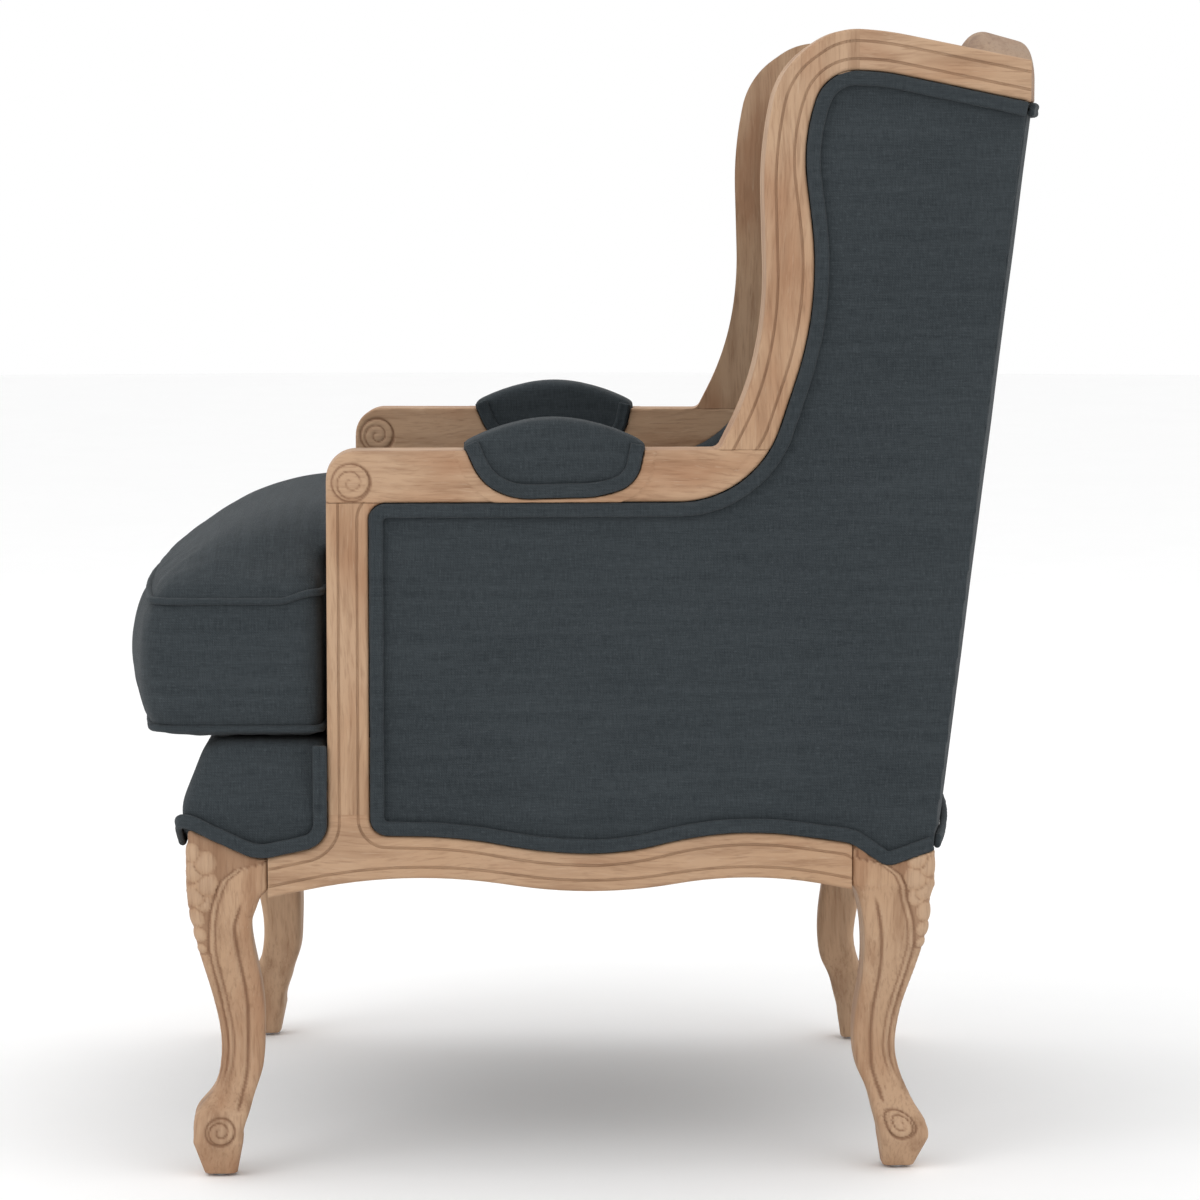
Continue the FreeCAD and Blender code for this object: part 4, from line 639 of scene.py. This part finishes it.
def carve_arm(node, side):
    """An arm rail with the spiral scroll on its tip."""
    grid = bpy.context.scene.bergere_wood.carving_grid * 1.0
    piece = remesh(copy_of(node, f"{node}_carved"), grid)
    relax(piece, 1)
    top = box_of(node)[1][2]
    tip = min(local_side(Vector(c.co), side).y for c in piece.data.vertices)
    radius = 17.0
    centre = (tip + 22 * MM, top - 28 * MM)
    normals = [vertex.normal.copy() for vertex in piece.data.vertices]
    heights = []
    for vertex, normal in zip(piece.data.vertices, normals):
        place = local_side(vertex.co, side)
        carved = abs(local_side(normal, side).x) > 0.6 and place.y < centre[0] + 30 * MM
        heights.append(1.3 * scroll_height((place.y - centre[0]) / MM, (place.z - centre[1]) / MM,
                                           radius, 1.8) if carved else 0.0)
    carve(piece, heights, normals)
    return dress(piece, show_wood("Y"), "show_wood", FRAME, node)


# the cushion's seams

PIPING = ("cushion_piping_bottom", "cushion_piping_top")
EAR_BACK = box_of("arm_post_left")[0][1] - 5 * MM


def seam_height(node):
    low, high = box_of(node)
    return (low[2] + high[2]) / 2


def side_line(y):
    """Half width of the cushion between the inside arms, at a Y."""
    wide = box_of("inside_arm_pad_left")[0][0]
    splay = math.tan(bpy.context.scene.bergere_wood.splay)
    return wide + (box_of("inside_arm_pad_left")[1][1] - y) * splay - 3 * MM


def side_face(point):
    """How far a point of the left inside arm lies inwards of the back of the pad."""
    low, high = box_of("inside_arm_pad_left")
    place = local_side(point, 1)
    outer = local_side(Vector((high[0], low[1], 0)), 1).x
    return outer - place.x


def seam_lift(point):
    """The upper seam rises where the ear of the cushion meets the arm post."""
    rise = 8 * MM * near(point.z, seam_height("cushion_piping_top"), 12 * MM, 60 * MM)
    beside = step_up(abs(point.x), 0.235, 0.275)
    return Vector((0, 0, rise * beside * step_up(point.y, EAR_BACK - 38 * MM, EAR_BACK - 4 * MM)))


def drop_inner_shell(piece):
    """Keeps only the outer skin of a hollow cover."""
    only(piece)
    bpy.ops.object.mode_set(mode="EDIT")
    bpy.ops.mesh.select_all(action="SELECT")
    bpy.ops.mesh.separate(type="LOOSE")
    bpy.ops.object.mode_set(mode="OBJECT")
    shells = sorted(bpy.context.selected_objects, key=lambda shell: shell.dimensions.length)
    skin = shells.pop()
    name = piece.name
    for shell in shells:
        bpy.data.objects.remove(shell)
    skin.name = name
    skin.data.name = name
    return skin


# operators, one for each piece or group of like pieces

SHOW_WOOD = {
    "Z": ("arm_post_left", "arm_post_right", "wing_rail_left", "wing_rail_right"),
    "Y": ("side_seat_rail_left", "side_seat_rail_right", "wing_top_rail_left",
          "wing_top_rail_right"),
    "X": ("front_seat_rail", "back_seat_rail"),
}
CREST = {"X": ("crest_rail",)}
BARE_WOOD = {
    "Z": ("back_stile_left", "back_stile_right", "frame_dowels"),
    "Y": ("arm_liner_rail_left", "arm_liner_rail_right"),
    "X": ("back_liner_rail", "corner_blocks"),
}


class BERGERE_OT_show_wood(bpy.types.Operator):
    """Finish the show wood and the hidden frame"""

    bl_idname = "bergere.show_wood"
    bl_label = "Show wood"

    def execute(self, context):
        for table, finish in ((SHOW_WOOD, show_wood), (CREST, crest_wood),
                              (BARE_WOOD, bare_wood)):
            for grain, nodes in table.items():
                for node in nodes:
                    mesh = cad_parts[node].data
                    mesh.materials.clear()
                    mesh.materials.append(finish(grain))
        return {"FINISHED"}


class BERGERE_OT_carving(bpy.types.Operator):
    """Carve the legs and the scrolls of the arms"""

    bl_idname = "bergere.carving"
    bl_label = "Carving"

    def execute(self, context):
        for name, side in (("left", 1), ("right", -1)):
            carve_leg(f"front_leg_{name}", side, False)
            carve_leg(f"back_leg_{name}", side, True)
            carve_arm(f"arm_rail_{name}", side)
        return {"FINISHED"}


class BERGERE_OT_springing(bpy.types.Operator):
    """Finish springs, clips, screws, tacks, glides, hessian, webbing and the filling"""

    bl_idname = "bergere.springing"
    bl_label = "Springing"

    def execute(self, context):
        jute = finish_named("jute", sacking, (0.42, 0.31, 0.17), 0.35)
        wrap = finish_named("cushion_wrap", plain, (0.80, 0.78, 0.72), 0.9, scale=90.0, relief=0.4)
        for node in ("corner_block_screws", "foot_glides", "seat_springs", "spring_clips",
                     "dust_cover_tacks"):
            self.finish(node, steel())
        for node in ("seat_hessian", "back_webbing"):
            self.finish(node, jute)
        self.finish("seat_cushion_core", wrap)
        self.finish("cushion_zip", finish_named("zip_tape", sacking, (0.03, 0.034, 0.04), 0.5,
                                                0.8 * MM))
        self.finish("zip_slider", finish_named("zip_metal", plain, (0.36, 0.33, 0.28), 0.4, 1.0))
        self.dust_cover()
        return {"FINISHED"}

    @staticmethod
    def dust_cover():
        """Black cloth tacked under the seat, sagging a little between its tacks."""
        piece = copy_of("dust_cover", "dust_cover_cloth")
        only(piece)
        bpy.ops.object.mode_set(mode="EDIT")
        bpy.ops.mesh.select_all(action="SELECT")
        bpy.ops.mesh.subdivide(number_cuts=6)
        bpy.ops.object.mode_set(mode="OBJECT")
        low, high = box_of("dust_cover")
        for vertex in piece.data.vertices:
            edge = min(vertex.co.x - low[0], high[0] - vertex.co.x,
                       vertex.co.y - low[1], high[1] - vertex.co.y)
            sag = step_up(edge, 25 * MM, 140 * MM)
            vertex.co.z -= sag * (3 * MM + 1.2 * MM * ripple(vertex.co, 90 * MM))
        cloth = finish_named("under_cloth", sacking, (0.022, 0.022, 0.024), 0.5, 1.0 * MM)
        dress(piece, cloth, "under_cloth", FRAME, "dust_cover")

    @staticmethod
    def finish(node, material):
        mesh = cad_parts[node].data
        mesh.materials.clear()
        mesh.materials.append(material)


class BERGERE_OT_panels(bpy.types.Operator):
    """Stretch the outside panels of the sides and the back"""

    bl_idname = "bergere.panels"
    bl_label = "Outside panels"

    def execute(self, context):
        grid = context.scene.bergere_linen.panel_grid
        for node in ("outside_panel_left", "outside_panel_right", "outside_back_panel"):
            piece = remesh(copy_of(node, f"{node}_cloth"), grid)
            relax(piece, 2)
            shift_points(piece, lambda p, n: 0.35 * MM * ripple(p, 60 * MM))
            thin_out(piece, 0.4)
            dress(piece, slate_linen(), "linen", FRAME, node)
        return {"FINISHED"}


class BERGERE_OT_inside_pads(bpy.types.Operator):
    """Swell the inside arms, the inside back, the arm pads, the front edge and the deck"""

    bl_idname = "bergere.inside_pads"
    bl_label = "Inside pads"

    def execute(self, context):
        arm = self.pad("inside_arm_pad_left", 3 * MM, self.held_arm)
        self.finish(mirrored(arm, "inside_arm_pad_right_cloth"), "inside_arm_pad_right")
        self.finish(arm, "inside_arm_pad_left")
        top = self.pad("arm_pad_left", 2 * MM, self.held_arm_pad, 0.5)
        self.finish(mirrored(top, "arm_pad_right_cloth"), "arm_pad_right")
        self.finish(top, "arm_pad_left")
        for node, swell, held in (("inside_back_pad", 5 * MM, self.held_back),
                                  ("front_edge_pad", 2 * MM, self.held_front),
                                  ("seat_deck", 0.0, lambda point: 1.0)):
            self.finish(self.pad(node, swell, held), node)
        return {"FINISHED"}

    @staticmethod
    def pad(node, swell, held, share=1.0):
        grid = bpy.context.scene.bergere_linen.grid * share
        piece = remesh(copy_of(node, f"{node}_cloth"), grid)
        relax(piece, 2)
        return stuff(piece, swell, held)

    @staticmethod
    def finish(piece, node):
        refine(piece)
        shift_points(piece, lambda p, n: 0.3 * MM * ripple(p, 55 * MM))
        dress(piece, slate_linen(), "linen", FRAME, node)

    @staticmethod
    def held_arm(point):
        """Sewn down at the wood, at the deck and where the cushion lies against it."""
        top = box_of("inside_arm_pad_left")[1][2]
        inner = side_face(point)
        crown = box_of("seat_cushion_cover")[1][2]
        return max(1 - step_up(inner, 20 * MM, 34 * MM), 1 - step_up(point.z, crown - 0.03, crown),
                   near(point.z, top, 8 * MM, 22 * MM))

    @staticmethod
    def held_arm_pad(point):
        foot = box_of("arm_pad_left")[0][2]
        return 1 - step_up(point.z, foot + 6 * MM, foot + 22 * MM)

    @staticmethod
    def held_back(point):
        high = box_of("inside_back_pad")[1]
        crown = box_of("seat_cushion_cover")[1][2]
        return max(step_up(abs(point.x), high[0] - 16 * MM, high[0] - 4 * MM),
                   1 - step_up(point.z, crown - 0.05, crown),
                   step_up(point.z, high[2] - 12 * MM, high[2] - 3 * MM))

    @staticmethod
    def held_front(point):
        low, high = box_of("front_edge_pad")
        return max(1 - step_up(point.z, low[2] + 24 * MM, low[2] + 42 * MM),
                   step_up(point.z, high[2] - 6 * MM, high[2] - 2 * MM),
                   step_up(point.y, high[1] - 10 * MM, high[1] - 3 * MM))


class BERGERE_OT_cushion(bpy.types.Operator):
    """Stuff the loose seat cushion"""

    bl_idname = "bergere.cushion"
    bl_label = "Seat cushion"

    def execute(self, context):
        piece = drop_inner_shell(copy_of("seat_cushion_cover", "seat_cushion_cloth"))
        remesh(piece, context.scene.bergere_linen.grid)
        relax(piece, 1)
        stuff(piece, 3 * MM, self.held)
        refine(piece)
        for vertex in piece.data.vertices:
            vertex.co += seam_lift(vertex.co)
        shift_points(piece, self.gathers)
        dress(piece, slate_linen(), "linen", CUSHION, "seat_cushion_cover")
        return {"FINISHED"}

    @staticmethod
    def held(point):
        """Sewn at both seams, resting below, and close to its neighbours at the sides and back."""
        low, high = box_of("seat_cushion_cover")
        seams = [seam_height(node) for node in PIPING]
        back = step_up(point.y, high[1] - 10 * MM, high[1] - 4 * MM)
        beside = step_up(abs(point.x), side_line(point.y) - 9 * MM, side_line(point.y) - 3 * MM)
        beside *= step_up(point.y, EAR_BACK - 9 * MM, EAR_BACK - 3 * MM)
        outside = abs(point.x) > side_line(point.y) - 5 * MM
        ear = near(point.y, EAR_BACK, 5 * MM, 12 * MM) * outside
        return max(*(near(point.z, seam, 4 * MM, 15 * MM) for seam in seams),
                   1 - step_up(point.z, low[2] + 3 * MM, low[2] + 8 * MM), back, beside, ear)

    @staticmethod
    def gathers(point, normal):
        """Small gathers that run into the piping, and soft hollows on the crown."""
        depth = bpy.context.scene.bergere_linen.pucker
        height = 0.0
        for node in PIPING:
            away = abs(point.z - seam_height(node))
            if 3 * MM < away < 60 * MM:
                fade = step_up(away, 3 * MM, 9 * MM) * (1 - step_up(away, 14 * MM, 60 * MM))
                along = Vector((point.x / (15 * MM), point.y / (15 * MM), away / (60 * MM)))
                height += depth * fade * noise.noise(along)
        return height + 1.4 * MM * ripple(point, 95 * MM) * abs(normal.z)


class BERGERE_OT_welts(bpy.types.Operator):
    """Sew the double welts and the cushion piping"""

    bl_idname = "bergere.welts"
    bl_label = "Welts and piping"

    def execute(self, context):
        for node in ("side_welt_left", "side_welt_right", "back_welts", "arm_pad_welt_left",
                     "arm_pad_welt_right", "front_pad_welt"):
            welt_piece(node, f"{node}_cloth")
        for node in PIPING:
            welt_piece(node, f"{node}_cloth", CUSHION, seam_lift)
        return {"FINISHED"}


class BERGERE_OT_stage(bpy.types.Operator):
    """Set the floor, the lights and the camera"""

    bl_idname = "bergere.stage"
    bl_label = "Stage"

    def execute(self, context):
        settings = context.scene.bergere_stage
        bpy.ops.mesh.primitive_circle_add(vertices=96, radius=14, fill_type="NGON")
        floor = context.object
        floor.name = "floor"
        floor.data.materials.append(finish_named("floor_paint", plain, tuple(settings.floor), 0.85,
                                                 scale=3.0, relief=0.0, variation=0.01))
        for name, place, size, power in (
                ("key_light", (3.2, -3.4, 3.4), 3.0, settings.key),
                ("fill_light", (3.4, 3.2, 2.2), 3.0, settings.key * 0.35),
                ("top_light", (-0.6, 0.0, 4.2), 3.5, settings.key * 0.6)):
            aim = (Vector((0, 0, 0.5)) - Vector(place)).to_track_quat("-Z", "Y").to_euler()
            bpy.ops.object.light_add(type="AREA", location=place, rotation=aim)
            light = context.object
            light.name = name
            light.data.size = size
            light.data.energy = power
        world = bpy.data.worlds.new("studio")
        world.use_nodes = True
        world.node_tree.nodes["Background"].inputs["Color"].default_value = (1, 1, 1, 1)
        world.node_tree.nodes["Background"].inputs["Strength"].default_value = settings.sky
        context.scene.world = world
        context.scene.view_settings.view_transform = "Standard"
        down = math.pi / 2 - settings.tilt
        bpy.ops.object.camera_add(location=settings.camera,
                                  rotation=(down, 0, math.pi / 2 - settings.turn))
        camera = context.object
        camera.data.sensor_width = 36
        camera.data.lens = settings.lens
        context.scene.camera = camera
        return {"FINISHED"}


class BERGERE_PT_panel(bpy.types.Panel):
    """Lists the pieces of the armchair"""

    bl_label = "Bergere armchair"
    bl_space_type = "VIEW_3D"
    bl_region_type = "UI"
    bl_category = "Bergere"

    def draw(self, context):
        for operator in OPERATORS:
            self.layout.operator(operator.bl_idname)


GROUPS = {"bergere_wood": BergereWood, "bergere_linen": BergereLinen,
          "bergere_stage": BergereStage}
OPERATORS = (BERGERE_OT_stage, BERGERE_OT_show_wood, BERGERE_OT_carving, BERGERE_OT_springing,
             BERGERE_OT_panels, BERGERE_OT_inside_pads, BERGERE_OT_cushion, BERGERE_OT_welts)


def register():
    for name, group in GROUPS.items():
        bpy.utils.register_class(group)
        setattr(bpy.types.Scene, name, PointerProperty(type=group))
    for operator in OPERATORS:
        bpy.utils.register_class(operator)
    bpy.utils.register_class(BERGERE_PT_panel)


def unregister():
    bpy.utils.unregister_class(BERGERE_PT_panel)
    for operator in reversed(OPERATORS):
        bpy.utils.unregister_class(operator)
    for name, group in GROUPS.items():
        delattr(bpy.types.Scene, name)
        bpy.utils.unregister_class(group)


def main():
    register()
    for operator in OPERATORS:
        group, name = operator.bl_idname.split(".")
        getattr(getattr(bpy.ops, group), name)()


if __name__ == "__main__":
    main()
